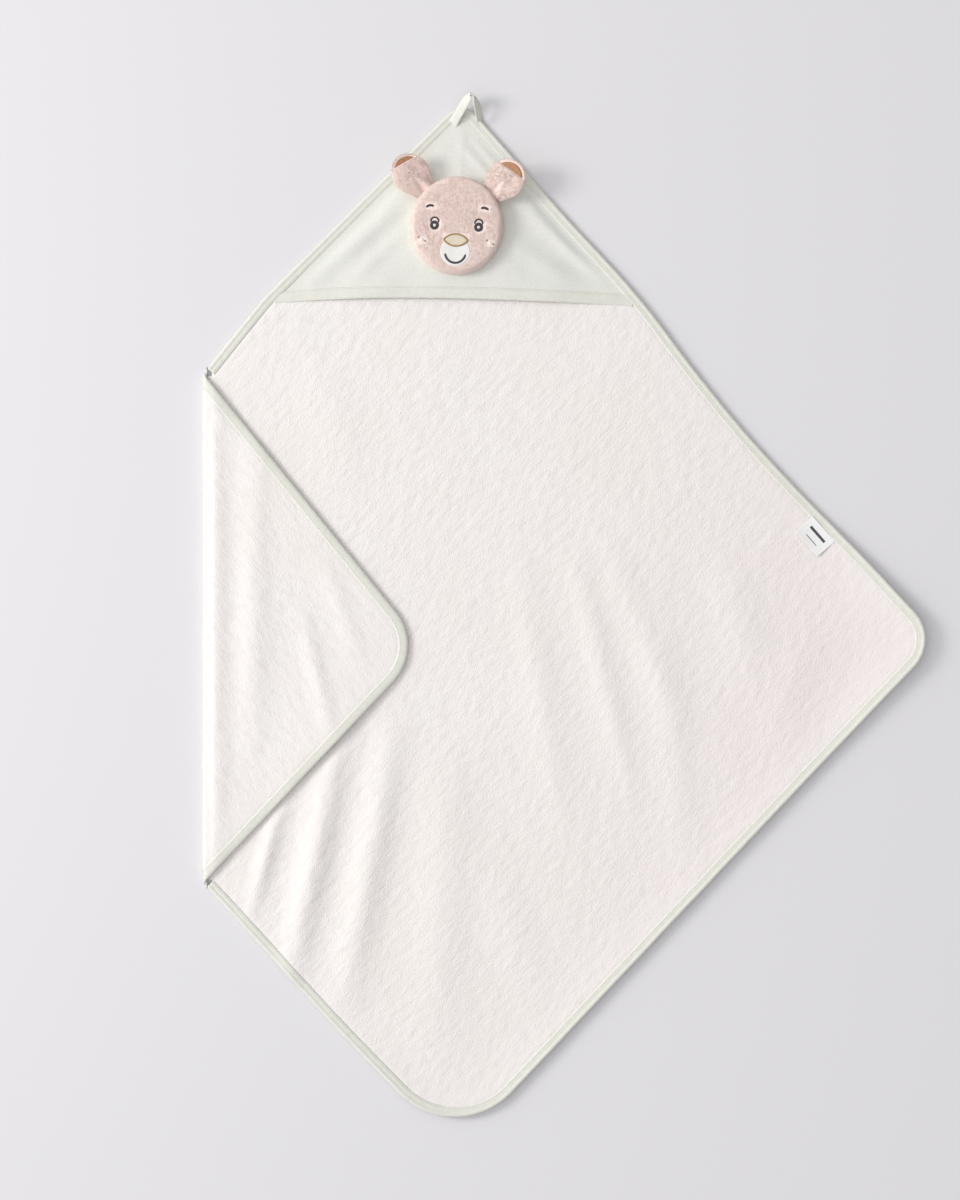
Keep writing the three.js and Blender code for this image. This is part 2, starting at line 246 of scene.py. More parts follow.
# Soft creases in the part that lies flat: start, end, half width and height.
CREASES = [
    ((-0.209, -0.165), (-0.244, -0.296), 0.010, 4.6 * MM),
    ((-0.146, -0.105), (-0.200, -0.370), 0.017, 7.2 * MM),
    ((-0.086, -0.100), (-0.136, -0.390), 0.019, 6.0 * MM),
    ((-0.022, -0.130), (-0.034, -0.440), 0.030, 3.4 * MM),
    ((0.060, 0.085), (0.105, -0.190), 0.020, 2.2 * MM),
    ((0.125, 0.090), (0.185, -0.165), 0.016, 2.4 * MM),
    ((0.165, 0.105), (0.235, -0.090), 0.018, 2.0 * MM),
    ((0.215, 0.060), (0.245, -0.230), 0.022, 1.8 * MM),
    ((0.290, 0.110), (0.330, -0.060), 0.026, 2.2 * MM),
    ((0.380, 0.020), (0.350, -0.110), 0.024, 1.8 * MM),
    ((0.020, -0.250), (0.075, -0.390), 0.026, 1.6 * MM),
    ((-0.120, 0.160), (-0.175, 0.330), 0.030, 1.2 * MM),
]
# Soft folds in the flap, in its folded place.
FLAP_FOLDS = [
    ((FOLD_X + 0.011, 0.290), (FOLD_X + 0.012, -0.250), 0.013, 3.2 * MM),
    ((FOLD_X + 0.056, 0.220), (FOLD_X + 0.054, -0.115), 0.016, 2.8 * MM),
    ((-0.186, 0.030), (-0.156, -0.092), 0.010, 2.4 * MM),
    ((-0.163, 0.095), (-0.124, -0.012), 0.012, 1.8 * MM),
]
RIGHT_CORNER_LIFT = 7 * MM
LOWER_EDGE_LIFT = 5.0 * MM
FLAP_EDGE_LIFT = 3.4 * MM
PUFF_SHARE = 0.85


def bowed(x, y):
    """Moves points of the flat cloth in plan, where its sides bow a little."""
    x, y = np.asarray(x, float), np.asarray(y, float)
    shift_x, shift_y = np.zeros_like(x), np.zeros_like(y)
    for side, middle, spread, depth in BOWS:
        start, along, inward = outline.points[side], outline.along[side], outline.inward[side]
        length = np.linalg.norm(outline.points[(side + 1) % 5] - start)
        share = ((x - start[0]) * along[0] + (y - start[1]) * along[1]) / length
        inside = (x - start[0]) * inward[0] + (y - start[1]) * inward[1]
        by = depth * np.exp(-(((share - middle) / spread) ** 2)) * np.exp(-((inside / 0.14) ** 2))
        shift_x, shift_y = shift_x + by * inward[0], shift_y + by * inward[1]
    return x + shift_x, y + shift_y


def ground(x, y):
    """Height of the flat cloth's underside. The creases run out under the flap."""
    creases = sum(rise * ridge(x, y, start, end, width) for start, end, width, rise in CREASES)
    flap_inside = outline.depth(2 * FOLD_X - ROLL_LENGTH - x, y)
    height = creases * (1 - smoothstep(flap_inside, -20 * MM, 12 * MM))
    height = height + 0.5 * MM * (1 + noise(x, y, 0.11, 11)) + 0.25 * MM * (1 + noise(x, y, 0.045, 12))
    inside = outline.depth(x, y)
    lower_right = smoothstep(x - y, 0.20, 0.50)
    height = height + LOWER_EDGE_LIFT * np.exp(-inside / 0.022) * lower_right
    height = height + RIGHT_CORNER_LIFT * smoothstep(x + 0.25 * np.abs(y), 0.425, 0.545)
    return height * smoothstep(x, FOLD_X + 0.004, FOLD_X + 0.05) * smoothstep(-y, -0.50, -0.36)


def flap_lift(x, y, height):
    """How far the folded flap rises above the roll's height, by its folded place and its layer."""
    own = 0.4 * MM * (1 + noise(x, y, 0.06, 21))
    for start, end, width, rise in FLAP_FOLDS:
        own = own + rise * ridge(x, y, start, end, width)
    lower_edge = smoothstep(-y, 0.02, 0.12) * smoothstep(x, FOLD_X + 0.05, FOLD_X + 0.16)
    own = own + FLAP_EDGE_LIFT * lower_edge
    # The flap is puffed up where it rises: its hidden face stays nearly flat, so it opens out flat.
    own = own * (1 - PUFF_SHARE * smoothstep(height, 1.2 * MM, 2.8 * MM))
    own = own * smoothstep(x, FOLD_X, FOLD_X + 0.009)
    return own + ground(x, y) * smoothstep(x, FOLD_X, FOLD_X + 0.045)


def place_flat(x, y, height):
    """The place of a point of the flat cloth, by its height above the underside."""
    return np.stack([*bowed(x, y), ground(x, y) + height], axis=-1)


def place_folded(x, y, height):
    """The place of a point of the flap, given where it would be on the opened-out cloth."""
    past = FOLD_X - np.asarray(x, float)
    turn = np.clip(past / ROLL_LENGTH, 0, 1) * math.pi
    radius = FOLD_Z - height
    flat = np.maximum(past - ROLL_LENGTH, 0)
    folded_x = FOLD_X + flat - radius * np.sin(turn)
    folded_z = FOLD_Z - radius * np.cos(turn) + flap_lift(FOLD_X + flat, y, height)
    return np.stack([folded_x, y, folded_z], axis=-1)


def pile(x, y):
    """The clumped surface of the terry loops, from 0 to about 1."""
    u, v = turned(x, y, math.radians(50))
    clumps = noise(u, v * 1.9, 8.0 * MM, 31) + 0.7 * noise(u, v * 1.5, 13 * MM, 32)
    fine = 0.35 * noise(x, y, 3.4 * MM, 33)
    return 0.5 + 0.24 * (clumps + fine)


PILE = 0.85 * MM


def mouth_line(x):
    """Y of the hood's mouth edge, which bows up in the middle and drops to the right."""
    t = np.clip((np.asarray(x, float) + 0.228) / 0.428, 0, 1)
    return MOUTH_Y + (0.5 - 4.5 * t + 9 * np.sin(math.pi * t ** 0.8)) * MM


def past_tape(x, y):
    """0 inside the tape, and 1 where the terry has its full thickness."""
    return smoothstep(outline.depth(x, y), BINDING_WIDTH - 1.5 * MM, BINDING_WIDTH + 2.5 * MM)


def sheet_top(x, y):
    """Height of the terry's upper face above its underside; it is thin inside the tape and hood."""
    open_air = 1 - smoothstep(y - mouth_line(x), 4 * MM, 14 * MM)
    return 2.9 * MM + past_tape(x, y) * open_air * (0.55 * MM + PILE * pile(x, y))


def sheet_bottom(x, y):
    """Height of the terry's lower face, which is lifted inside the tape."""
    return 1.0 * MM - past_tape(x, y) * (0.35 * MM + 0.6 * MM * pile(x + 0.37, y))


# ---- mesh helpers

def make_object(name, points, faces, uvs=None, smooth=True):
    """A closed mesh object, its faces turned outwards, from points, faces and plan coordinates."""
    mesh = bpy.data.meshes.new(name)
    mesh.from_pydata(np.asarray(points, float).tolist(), [], faces)
    shell = bmesh.new()
    shell.from_mesh(mesh)
    bmesh.ops.recalc_face_normals(shell, faces=shell.faces)
    shell.to_mesh(mesh)
    shell.free()
    if uvs is not None:
        layer = mesh.uv_layers.new(name="cloth")
        corner_vertices = np.zeros(len(mesh.loops), int)
        mesh.loops.foreach_get("vertex_index", corner_vertices)
        layer.data.foreach_set("uv", np.asarray(uvs, np.float32)[corner_vertices].ravel())
    mesh.polygons.foreach_set("use_smooth", [smooth] * len(mesh.polygons))
    mesh.update()
    result = bpy.data.objects.new(name, mesh)
    bpy.context.scene.collection.objects.link(result)
    return result


def cell_corners(ids, cells):
    """The ids of the four corners, counterclockwise, of each cell that is kept."""
    i, j = np.nonzero(cells)
    return np.stack([ids[i, j], ids[i + 1, j], ids[i + 1, j + 1], ids[i, j + 1]], axis=1)


# The sides of a grid cell: the way to the cell beside it, and the side's two corners.
CELL_SIDES = [
    ((-1, 0), (0, 1), (0, 0)), ((1, 0), (1, 0), (1, 1)),
    ((0, -1), (0, 0), (1, 0)), ((0, 1), (1, 1), (0, 1)),
]


def cloth_mesh(name, xs, ys, inside, upper, lower):
    """A closed cloth over a plan grid: a fine upper face, a coarser lower one, and a rim between.

    xs and ys have odd lengths. inside(x, y) says which coarse points are on the cloth.
    """
    fine_x, fine_y = np.meshgrid(xs, ys, indexing="ij")
    coarse_x, coarse_y = fine_x[::2, ::2], fine_y[::2, ::2]
    keep = inside(coarse_x, coarse_y)
    cells = keep[:-1, :-1] & keep[1:, :-1] & keep[1:, 1:] & keep[:-1, 1:]
    many, wide = fine_x.shape
    fine_id = np.arange(many * wide).reshape(many, wide)
    coarse_id = np.arange(coarse_x.size).reshape(coarse_x.shape) + many * wide
    top = cell_corners(fine_id, np.repeat(np.repeat(cells, 2, axis=0), 2, axis=1))
    base = cell_corners(coarse_id, cells)[:, [0, 3, 2, 1]]
    faces = top.tolist() + base.tolist()
    padded_cells = np.pad(cells, 1)
    for (di, dj), (a0, a1), (b0, b1) in CELL_SIDES:
        beside = padded_cells[1 + di:1 + di + cells.shape[0], 1 + dj:1 + dj + cells.shape[1]]
        for i, j in zip(*np.nonzero(cells & ~beside)):
            a, b = (i + a0, j + a1), (i + b0, j + b1)
            middle = (a[0] + b[0], a[1] + b[1])
            faces.append([
                int(fine_id[2 * a[0], 2 * a[1]]), int(coarse_id[a]), int(coarse_id[b]),
                int(fine_id[2 * b[0], 2 * b[1]]), int(fine_id[middle]),
            ][::-1])
    points = np.concatenate([
        upper(fine_x.ravel(), fine_y.ravel()), lower(coarse_x.ravel(), coarse_y.ravel()),
    ])
    plan = np.concatenate([
        pairs(fine_x.ravel(), fine_y.ravel()), pairs(coarse_x.ravel(), coarse_y.ravel()),
    ])
    used = np.unique(np.concatenate([top.ravel(), base.ravel()]))
    renumber = np.full(len(points), -1)
    renumber[used] = np.arange(len(used))
    faces = [[int(renumber[v]) for v in face] for face in faces]
    return make_object(name, points[used], faces, plan[used])


def sweep(name, rings, uvs, closed=False):
    """A closed band through rings of points, each a closed loop, with its two ends capped."""
    rings = np.asarray(rings)
    count, sides = rings.shape[:2]
    ids = np.arange(count * sides).reshape(count, sides)
    here, there = (ids, np.roll(ids, -1, axis=0)) if closed else (ids[:-1], ids[1:])
    next_here, next_there = np.roll(here, -1, axis=1), np.roll(there, -1, axis=1)
    quads = np.stack([here, there, next_there, next_here], axis=-1).reshape(-1, 4)
    faces = quads.tolist()
    if not closed:
        faces += [ids[0].tolist(), ids[-1][::-1].tolist()]
    return make_object(name, rings.reshape(-1, 3), faces, np.asarray(uvs).reshape(-1, 2))


def band(name, lines, closed=False):
    """A band made of its long lines, each a row of points with their plan coordinates."""
    points, uvs = zip(*lines)
    return sweep(name, np.stack(points, axis=1), np.stack(uvs, axis=1), closed)


# ---- terry

def grid_line(start, end, cell):
    """An odd number of places from start to at least end, a cell apart."""
    count = int(math.ceil(abs(end - start) / cell / 2)) * 2
    return start + np.arange(count + 1) * cell * (1 if end > start else -1)


def inside_tape(x, y):
    return outline.depth(x, y) > 3 * MM


def make_terry_middle():
    xs = grid_line(FOLD_X, RIGHT_CORNER[0], CELL)
    ys = grid_line(BOTTOM_CORNER[1], HOOD_TIP[1], CELL)
    return cloth_mesh(
        "terry_towel", xs, ys, inside_tape,
        lambda x, y: place_flat(x, y, sheet_top(x, y)),
        lambda x, y: place_flat(x, y, sheet_bottom(x, y)),
    )


def make_terry_flap():
    ys = grid_line(BOTTOM_CORNER[1], HOOD_TIP[1], CELL)
    roll = np.linspace(FOLD_X, FOLD_X - ROLL_LENGTH, 7)
    rest = grid_line(roll[-1], LEFT_CORNER[0] - ROLL_LENGTH, CELL)
    xs = np.concatenate([roll, rest[1:]])
    return cloth_mesh(
        "terry_corner_flap", xs, ys, inside_tape,
        lambda x, y: place_folded(x, y, sheet_bottom(x, y)),
        lambda x, y: place_folded(x, y, sheet_top(x, y)),
    )


# ---- binding tape

# The tape's section in millimetres: distance in from the edge and height above the underside.
TAPE_SECTION = [
    (11.4, 3.3), (10.9, 4.25), (9.9, 4.6), (9.1, 4.35), (8.3, 4.6), (6.9, 4.65), (5.6, 4.2),
    (4.4, 4.75), (2.9, 5.1), (1.4, 4.5), (0.3, 3.3), (0.0, 2.2), (0.4, 1.2), (1.8, 0.35),
    (4.0, 0.05), (8.0, 0.0), (10.9, 0.05), (11.4, 1.2),
]
STITCH_INSET = 9.1 * MM
STITCH_STEP = 3.1 * MM
STITCH_RADIUS = 0.27 * MM
TAPE_STEP = 2.6 * MM


def tape_runs():
    """The edge path split at the fold: the flat run round the hood and right side, and the flap's."""
    places, normals = outline.path(TAPE_STEP)
    folded = places[:, 0] < FOLD_X
    first, last = np.nonzero(folded)[0][[0, -1]]
    flat = np.concatenate([np.arange(last, len(places)), np.arange(1, first + 1)])
    flap = np.arange(first - 1, last + 2)
    return [(places[flat], normals[flat]), (places[flap], normals[flap])]


def tape_point(places, normals, inset, height, place):
    plan = places + normals * inset
    return place(plan[:, 0], plan[:, 1], height)


def make_tape(name, places, normals, place):
    """The folded tape along one run, slightly puckered by its stitches."""
    along = lengths_along(places)
    ripple = noise(along, np.full_like(along, 0.3), 0.05, 42)
    lines = []
    around = 0.0
    for k, (inset, height) in enumerate(TAPE_SECTION):
        pucker = noise(along, np.full_like(along, inset * MM), 9 * MM, 41)
        bulge = math.sin(math.pi * min(inset * MM / STITCH_INSET, 1)) * (height > 2)
        in_by = (inset * MM + 0.25 * MM * ripple)[:, None]
        up_by = height * MM + 0.16 * MM * pucker * bulge
        uvs = pairs(along, np.full_like(along, around))
        lines.append((tape_point(places, normals, in_by, up_by, place), uvs))
        after = TAPE_SECTION[(k + 1) % len(TAPE_SECTION)]
        around += math.hypot(after[0] - inset, after[1] - height) * MM
    return band(name, lines)


# The stations along one stitch: share of its length, share of its thickness, and how high it lies.
STITCH_STATIONS = [
    (0.0, 0.25, -0.4), (0.18, 0.9, 0.25), (0.5, 1.0, 0.45), (0.82, 0.9, 0.25), (1.0, 0.25, -0.4),
]


def stitch_mesh(name, starts, ends, ups, radius):
    """Short thread stitches: one low bead with pointed ends from each start to its end."""
    sides, points, faces = 6, [], []
    for start, end, up in zip(starts, ends, ups):
        way = end - start
        side = unit(np.cross(way, up))
        base = len(points)
        for t, thick, rise in STITCH_STATIONS:
            centre = start + way * t + up * radius * rise
            for k in range(sides):
                angle = 2 * math.pi * k / sides
                points.append(centre + radius * thick * (side * math.cos(angle) + up * math.sin(angle)))
        last = base + (len(STITCH_STATIONS) - 1) * sides
        for first in range(base, last, sides):
            for k in range(sides):
                a, b = first + k, first + (k + 1) % sides
                faces.append([a, b, b + sides, a + sides])
        faces.append([base + k for k in range(sides)][::-1])
        faces.append([last + k for k in range(sides)])
    return make_object(name, points, faces)


def make_topstitches(name, points):
    """A row of stitches that lies on top of the cloth along a line of points."""
    points = resample(points, STITCH_STEP)
    ways = np.diff(points, axis=0)
    ups = np.tile([0.0, 0.0, 1.0], (len(ways), 1))
    return stitch_mesh(name, points[:-1] + 0.10 * ways, points[1:] - 0.14 * ways, ups, STITCH_RADIUS)


# ---- hood

HOOD_CREASES = [
    ((-0.052, 0.520), (-0.175, 0.415), 0.011, 3.6 * MM),
    ((-0.072, 0.470), (-0.130, 0.415), 0.009, 1.8 * MM),
    ((0.050, 0.510), (0.165, 0.405), 0.010, 3.4 * MM),
    ((0.050, 0.455), (0.110, 0.415), 0.010, 1.6 * MM),
    ((0.012, 0.572), (0.100, 0.475), 0.007, 2.8 * MM),
    ((-0.004, 0.565), (0.040, 0.515), 0.006, 1.6 * MM),
    ((-0.030, 0.560), (-0.100, 0.490), 0.008, 1.4 * MM),
    ((0.100, 0.440), (0.170, 0.405), 0.008, -1.4 * MM),
]
PANEL_CELL = 1.7 * MM
PANEL_THICKNESS = 0.9 * MM
PANEL_RIGHT = 0.215


def panel_height(x, y):
    """Height of the hood panel's upper face: tucked under the tape, and raised over the pocket."""
    inside = outline.depth(x, y)
    height = 4.15 * MM + POCKET_RISE * smoothstep(inside, 9 * MM, 92 * MM)
    loose = smoothstep(inside, 12 * MM, 26 * MM)
    for start, end, width, rise in HOOD_CREASES:
        height = height + loose * rise * ridge(x, y, start, end, width)
    return height + loose * (0.45 * MM * noise(x, y, 0.028, 51) + 0.12 * MM * noise(x, y, 0.009, 52))


def lift(x, y, height):
    """The place of a point of the hood, by its height above the origin."""
    return np.stack([*bowed(x, y), np.broadcast_to(height, np.shape(x))], axis=-1)


def make_hood_panel():
    xs = grid_line(HOOD_SIDE_BEND[0], PANEL_RIGHT, PANEL_CELL)
    ys = grid_line(MOUTH_Y, HOOD_TIP[1], PANEL_CELL)
    return cloth_mesh(
        "hood_jersey", xs, ys,
        lambda x, y: (outline.depth(x, y) > 5 * MM) & (y > mouth_line(x) + 5 * MM),
        lambda x, y: lift(x, y, panel_height(x, y)),
        lambda x, y: lift(x, y, panel_height(x, y) - PANEL_THICKNESS),
    )


# The hem's section in millimetres: distance up from the mouth and height over the panel's face.
HEM_SECTION = [
    (0.0, 0.1), (0.5, 0.85), (1.8, 1.15), (5.0, 1.25), (9.0, 1.2), (11.0, 1.0), (11.7, 0.7),
    (12.4, 0.95), (13.2, 0.85), (13.8, 0.1), (13.6, -1.2), (8.0, -1.5), (2.0, -1.5), (0.4, -0.9),
]
HEM_STITCH = 11.7 * MM


def mouth_run():
    xs = np.linspace(HOOD_SIDE_BEND[0], PANEL_RIGHT, 260)
    ys = mouth_line(xs)
    inside = outline.depth(xs, ys + HEM_WIDTH / 2) > 7.5 * MM
    return xs[inside], ys[inside]


def hem_height(x, y):
    """The panel's height along the hem, kept under the tape at both ends."""
    return np.minimum(panel_height(x, y), 10.2 * MM)


def on_hem(up_by, over):
    """Points along the hem, by distance up from the mouth and height over the panel."""
    xs, ys = mouth_run()
    y = ys + up_by
    return lift(xs, y, hem_height(xs, y) + over)


def make_hem():
    xs, _ = mouth_run()
    return band("hood_hem", [
        (on_hem(up_by * MM, (over - 0.1) * MM), pairs(xs, np.full_like(xs, up_by * MM)))
        for up_by, over in HEM_SECTION
    ])


# ---- face

EYE_X, EYE_Y = 24.8 * MM, -2.2 * MM
BROW_X, BROW_Y = 30 * MM, 13.5 * MM
NOSE_Y = -17.9 * MM
MUZZLE_Y = -31 * MM
SMILE_Y, SMILE_RADIUS = -32 * MM, 11.5 * MM
CHEEK_X, CHEEK_Y = 38.5 * MM, -19.2 * MM
# Where the stitching pulls the plush in: x, y, depth and reach.
FACE_DENTS = [
    (-EYE_X, EYE_Y, 1.2 * MM, 9 * MM), (EYE_X, EYE_Y, 1.2 * MM, 9 * MM),
    (0, NOSE_Y, 1.0 * MM, 14 * MM), (0, MUZZLE_Y, 1.0 * MM, 16 * MM),
]
RIM_SHARPNESS = 32
STRAND_STEP = 0.28 * MM
STITCH_ROOT = 1.2 * MM


def hood_under_face(x, y):
    """Height of the hood at a place measured from the face's centre, over the face's own level."""
    u, v = turned(np.asarray(x, float), np.asarray(y, float), -FACE_TURN)
    return panel_height(FACE_X + u, FACE_Y + v) - 0.3 * MM - FACE_Z


def face_height(x, y):
    """Height of the plush at a place measured from the face's centre: flat, with a round rim."""
    rho = np.clip(np.hypot(x / FACE_RADIUS_X, y / FACE_RADIUS_Y), 0, 1)
    crown = 0.87 * FACE_HEIGHT + 1.1 * MM * (1 - rho ** 2)
    for cx, cy, depth, reach in FACE_DENTS:
        crown = crown - depth * np.exp(-(((x - cx) ** 2 + (y - cy) ** 2) / reach ** 2))
    base = hood_under_face(x, y)
    return base + (crown - base) * (1 - rho ** RIM_SHARPNESS) ** 0.5


def fluff(x, y):
    return 0.18 * MM * noise(x, y * 0.5, 4.2 * MM, 61) + 0.10 * MM * noise(x, y * 0.5, 2.1 * MM, 62)


def on_face(plan, height):
    """Points over the face, given from its centre, turned and moved to their place on the hood."""
    u, v = turned(*plan.T, -FACE_TURN)
    return np.stack([FACE_X + u, FACE_Y + v, FACE_Z + height], axis=-1)


def make_face_plush():
    angles = np.linspace(0, 2 * math.pi, 180, endpoint=False)
    upper = [(rho, True) for rho in np.sin(np.linspace(0.02, 1, 58) * math.pi / 2)]
    under = [(rho, False) for rho in (0.97, 0.6, 0.02)]
    rings, uvs = [], []
    for rho, is_upper in upper + under:
        x, y = rho * FACE_RADIUS_X * np.cos(angles), rho * FACE_RADIUS_Y * np.sin(angles)
        height = hood_under_face(x, y)
        if is_upper:
            height = face_height(x, y) + fluff(x, y) * min(1, 4 * (1.15 - rho))
        uvs.append(pairs(x, y))
        rings.append(on_face(uvs[-1], height))
    return sweep("face_plush_pad", rings, uvs)


def stitch_band(name, points, width, thickness, closed=False, lift_by=0.0):
    """A raised line of satin stitches over the face, along points from the face's centre."""
    points = np.asarray(points, float)
    if closed:
        points = resample(np.concatenate([points, points[:1]]), STRAND_STEP)[:-1]
        ways = unit(np.roll(points, -1, axis=0) - np.roll(points, 1, axis=0))
        taper = np.ones(len(points))
    else:
        points = resample(points, STRAND_STEP)
        ways = unit(np.gradient(points, axis=0))
        order = np.arange(len(points))
        from_end = np.minimum(order, order[::-1]) * STRAND_STEP
        taper = np.sqrt(np.clip((from_end + 0.05 * MM) / (width * 0.7), 0, 1))
    aside = pairs(-ways[:, 1], ways[:, 0])
    threads = 1 + 0.13 * np.sin(np.arange(len(points)) * 2 * math.pi / 2.6)
    base = face_height(*points.T) + lift_by

    def line(across, height):
        plan = points + aside * (across * width / 2 * taper)[:, None]
        return on_face(plan, height), plan

    lines = []
    for angle in np.linspace(0, math.pi, 7):
        up = math.sin(angle) * thickness * threads * np.maximum(taper, 0.3)
        lines.append(line(math.cos(angle), base + up))
    for across in (-0.8, 0.8):
        lines.append(line(across, base - STITCH_ROOT))
    return band(name, lines, closed)


# A domed patch, from its middle out: share of the way to the edge, and share of its height.
PATCH_DOME = [
    (0.02, 1.0), (0.25, 0.99), (0.5, 0.95), (0.7, 0.88), (0.85, 0.76), (0.95, 0.55), (1.0, 0.2),
]


def stitch_patch(name, edge, thickness, lift_by=0.0):
    """A domed patch of satin stitches; edge is a ring of points from the face's centre."""
    centre = edge.mean(axis=0)
    shares = [share for share, _ in PATCH_DOME] + [0.97, 0.02]
    plans = [centre + (edge - centre) * share for share in shares]
    rings = []
    for plan, (share, up) in zip(plans, PATCH_DOME):
        rows = 0.05 * MM * np.sin(plan[:, 0] * 2 * math.pi / (0.9 * MM)) * (share < 0.99)
        rings.append(on_face(plan, face_height(*plan.T) + lift_by + thickness * up + rows))
    for plan in plans[-2:]:
        rings.append(on_face(plan, face_height(*plan.T) + lift_by - STITCH_ROOT))
    return sweep(name, rings, plans)


def oval(cx, cy, rx, ry, count=96):
    angles = np.linspace(0, 2 * math.pi, count, endpoint=False)
    return pairs(cx + rx * np.cos(angles), cy + ry * np.sin(angles))


def arc(cx, cy, radius, start, end, count=40):
    angles = np.radians(np.linspace(start, end, count))
    return pairs(cx + radius * np.cos(angles), cy + radius * np.sin(angles))


def almond(width, depth, cy):
    """Two equal arcs meeting in a point at each side."""
    radius = (width ** 2 + depth ** 2) / (4 * depth)
    reach = math.degrees(math.asin(width / 2 / radius))
    top = arc(0, cy - radius + depth / 2, radius, 90 - reach, 90 + reach)
    bottom = arc(0, cy + radius - depth / 2, radius, 270 - reach, 270 + reach)
    return np.concatenate([top[:-1], bottom[:-1]])


def make_eye(side, name):
    """One eye with its light, lid, brow and cheek spots: piece, CAD node and slot of each."""
    def line(kind, node, points, width, thickness, closed=False):
        piece = stitch_band(f"{kind}_stitches_{name}", points, width, thickness, closed)
        return piece, f"{node}_{name}", "dark_thread"

    def spot(kind, node, slot, middle, radius, thickness, count):
        piece = stitch_patch(f"{kind}_{name}", oval(*middle, radius, radius, count), thickness)
        return piece, node and f"{node}_{name}", slot

    x, cheek_x = side * EYE_X, side * CHEEK_X
    brow_middle = 90 - side * 10
    ring = oval(x, EYE_Y, 3.5 * MM, 3.6 * MM, 48)
    lid = arc(x, EYE_Y + 4.4 * MM, 4.4 * MM, -14, 194)
    brow = arc(side * BROW_X, BROW_Y, 6.3 * MM, brow_middle - 45, brow_middle + 45)
    freckles = [
        ("inner", (cheek_x - 3.6 * MM, CHEEK_Y + 2.4 * MM)),
        ("outer", (cheek_x + 3.8 * MM, CHEEK_Y - 1.5 * MM)),
    ]
    return [
        line("eye_ring", "eye", ring, 3.5 * MM, 0.9 * MM, True),
        spot("eye_light_stitches", "eye_light", "white_thread", (x, EYE_Y), 1.7 * MM, 0.9 * MM, 32),
        line("eyelid", "eyelid", lid, 2.0 * MM, 0.7 * MM),
        line("brow", "brow", brow, 2.8 * MM, 0.8 * MM),
        spot("cheek_stitches", "cheek_spot", "white_thread", (cheek_x, CHEEK_Y), 2.2 * MM, 0.9 * MM, 32),
        *[
            spot(f"freckle_stitches_{place}", None, "gold_thread", middle, 1.1 * MM, 0.7 * MM, 20)
            for place, middle in freckles
        ],
    ]


def make_embroidery():
    """Every embroidered piece of the face, with the CAD node and slot that each stands for."""
    muzzle = oval(0, MUZZLE_Y, 17 * MM, 16 * MM)
    smile = arc(0, SMILE_Y, SMILE_RADIUS, 187, 353)
    nose = almond(25.4 * MM, 12.4 * MM, NOSE_Y)
    nose_edge = almond(27 * MM, 13.4 * MM, NOSE_Y)
    return [
        (stitch_patch("muzzle_stitches", muzzle, 0.7 * MM), "muzzle_patch", "white_thread"),
        (stitch_patch("nose_stitches", nose, 1.0 * MM, 0.5 * MM), "nose_fill", "cream_thread"),
        (stitch_band("nose_edge_stitches", nose_edge, 1.9 * MM, 1.0 * MM, True, 0.6 * MM),
         "nose_outline", "gold_thread"),
        (stitch_band("smile_stitches", smile, 2.5 * MM, 0.9 * MM, lift_by=0.5 * MM),
         "smile", "dark_thread"),
        *make_eye(-1, "left"),
        *make_eye(1, "right"),
    ]


# ---- ears

EAR_TILT = {"left": math.radians(11), "right": math.radians(25)}
EAR_START = -5 * MM
EAR_LENGTH = 46 * MM
EAR_MIDDLE = (EAR_LENGTH + EAR_START) / 2
EAR_REACH = (EAR_LENGTH - EAR_START) / 2
EAR_HALF_WIDTH = 21.5 * MM
EAR_THICKNESS = 7 * MM
EAR_RIM = 3.2 * MM
# How much thinner the plush is under the turned-over tip.
EAR_TIP_THINNING = 0.85
# The lining shows past a line across the ear, turned a little towards the face's middle.
EAR_LINING_TURN = math.radians(12)
EAR_LINING_REACH = {"left": math.radians(45), "right": math.radians(54)}


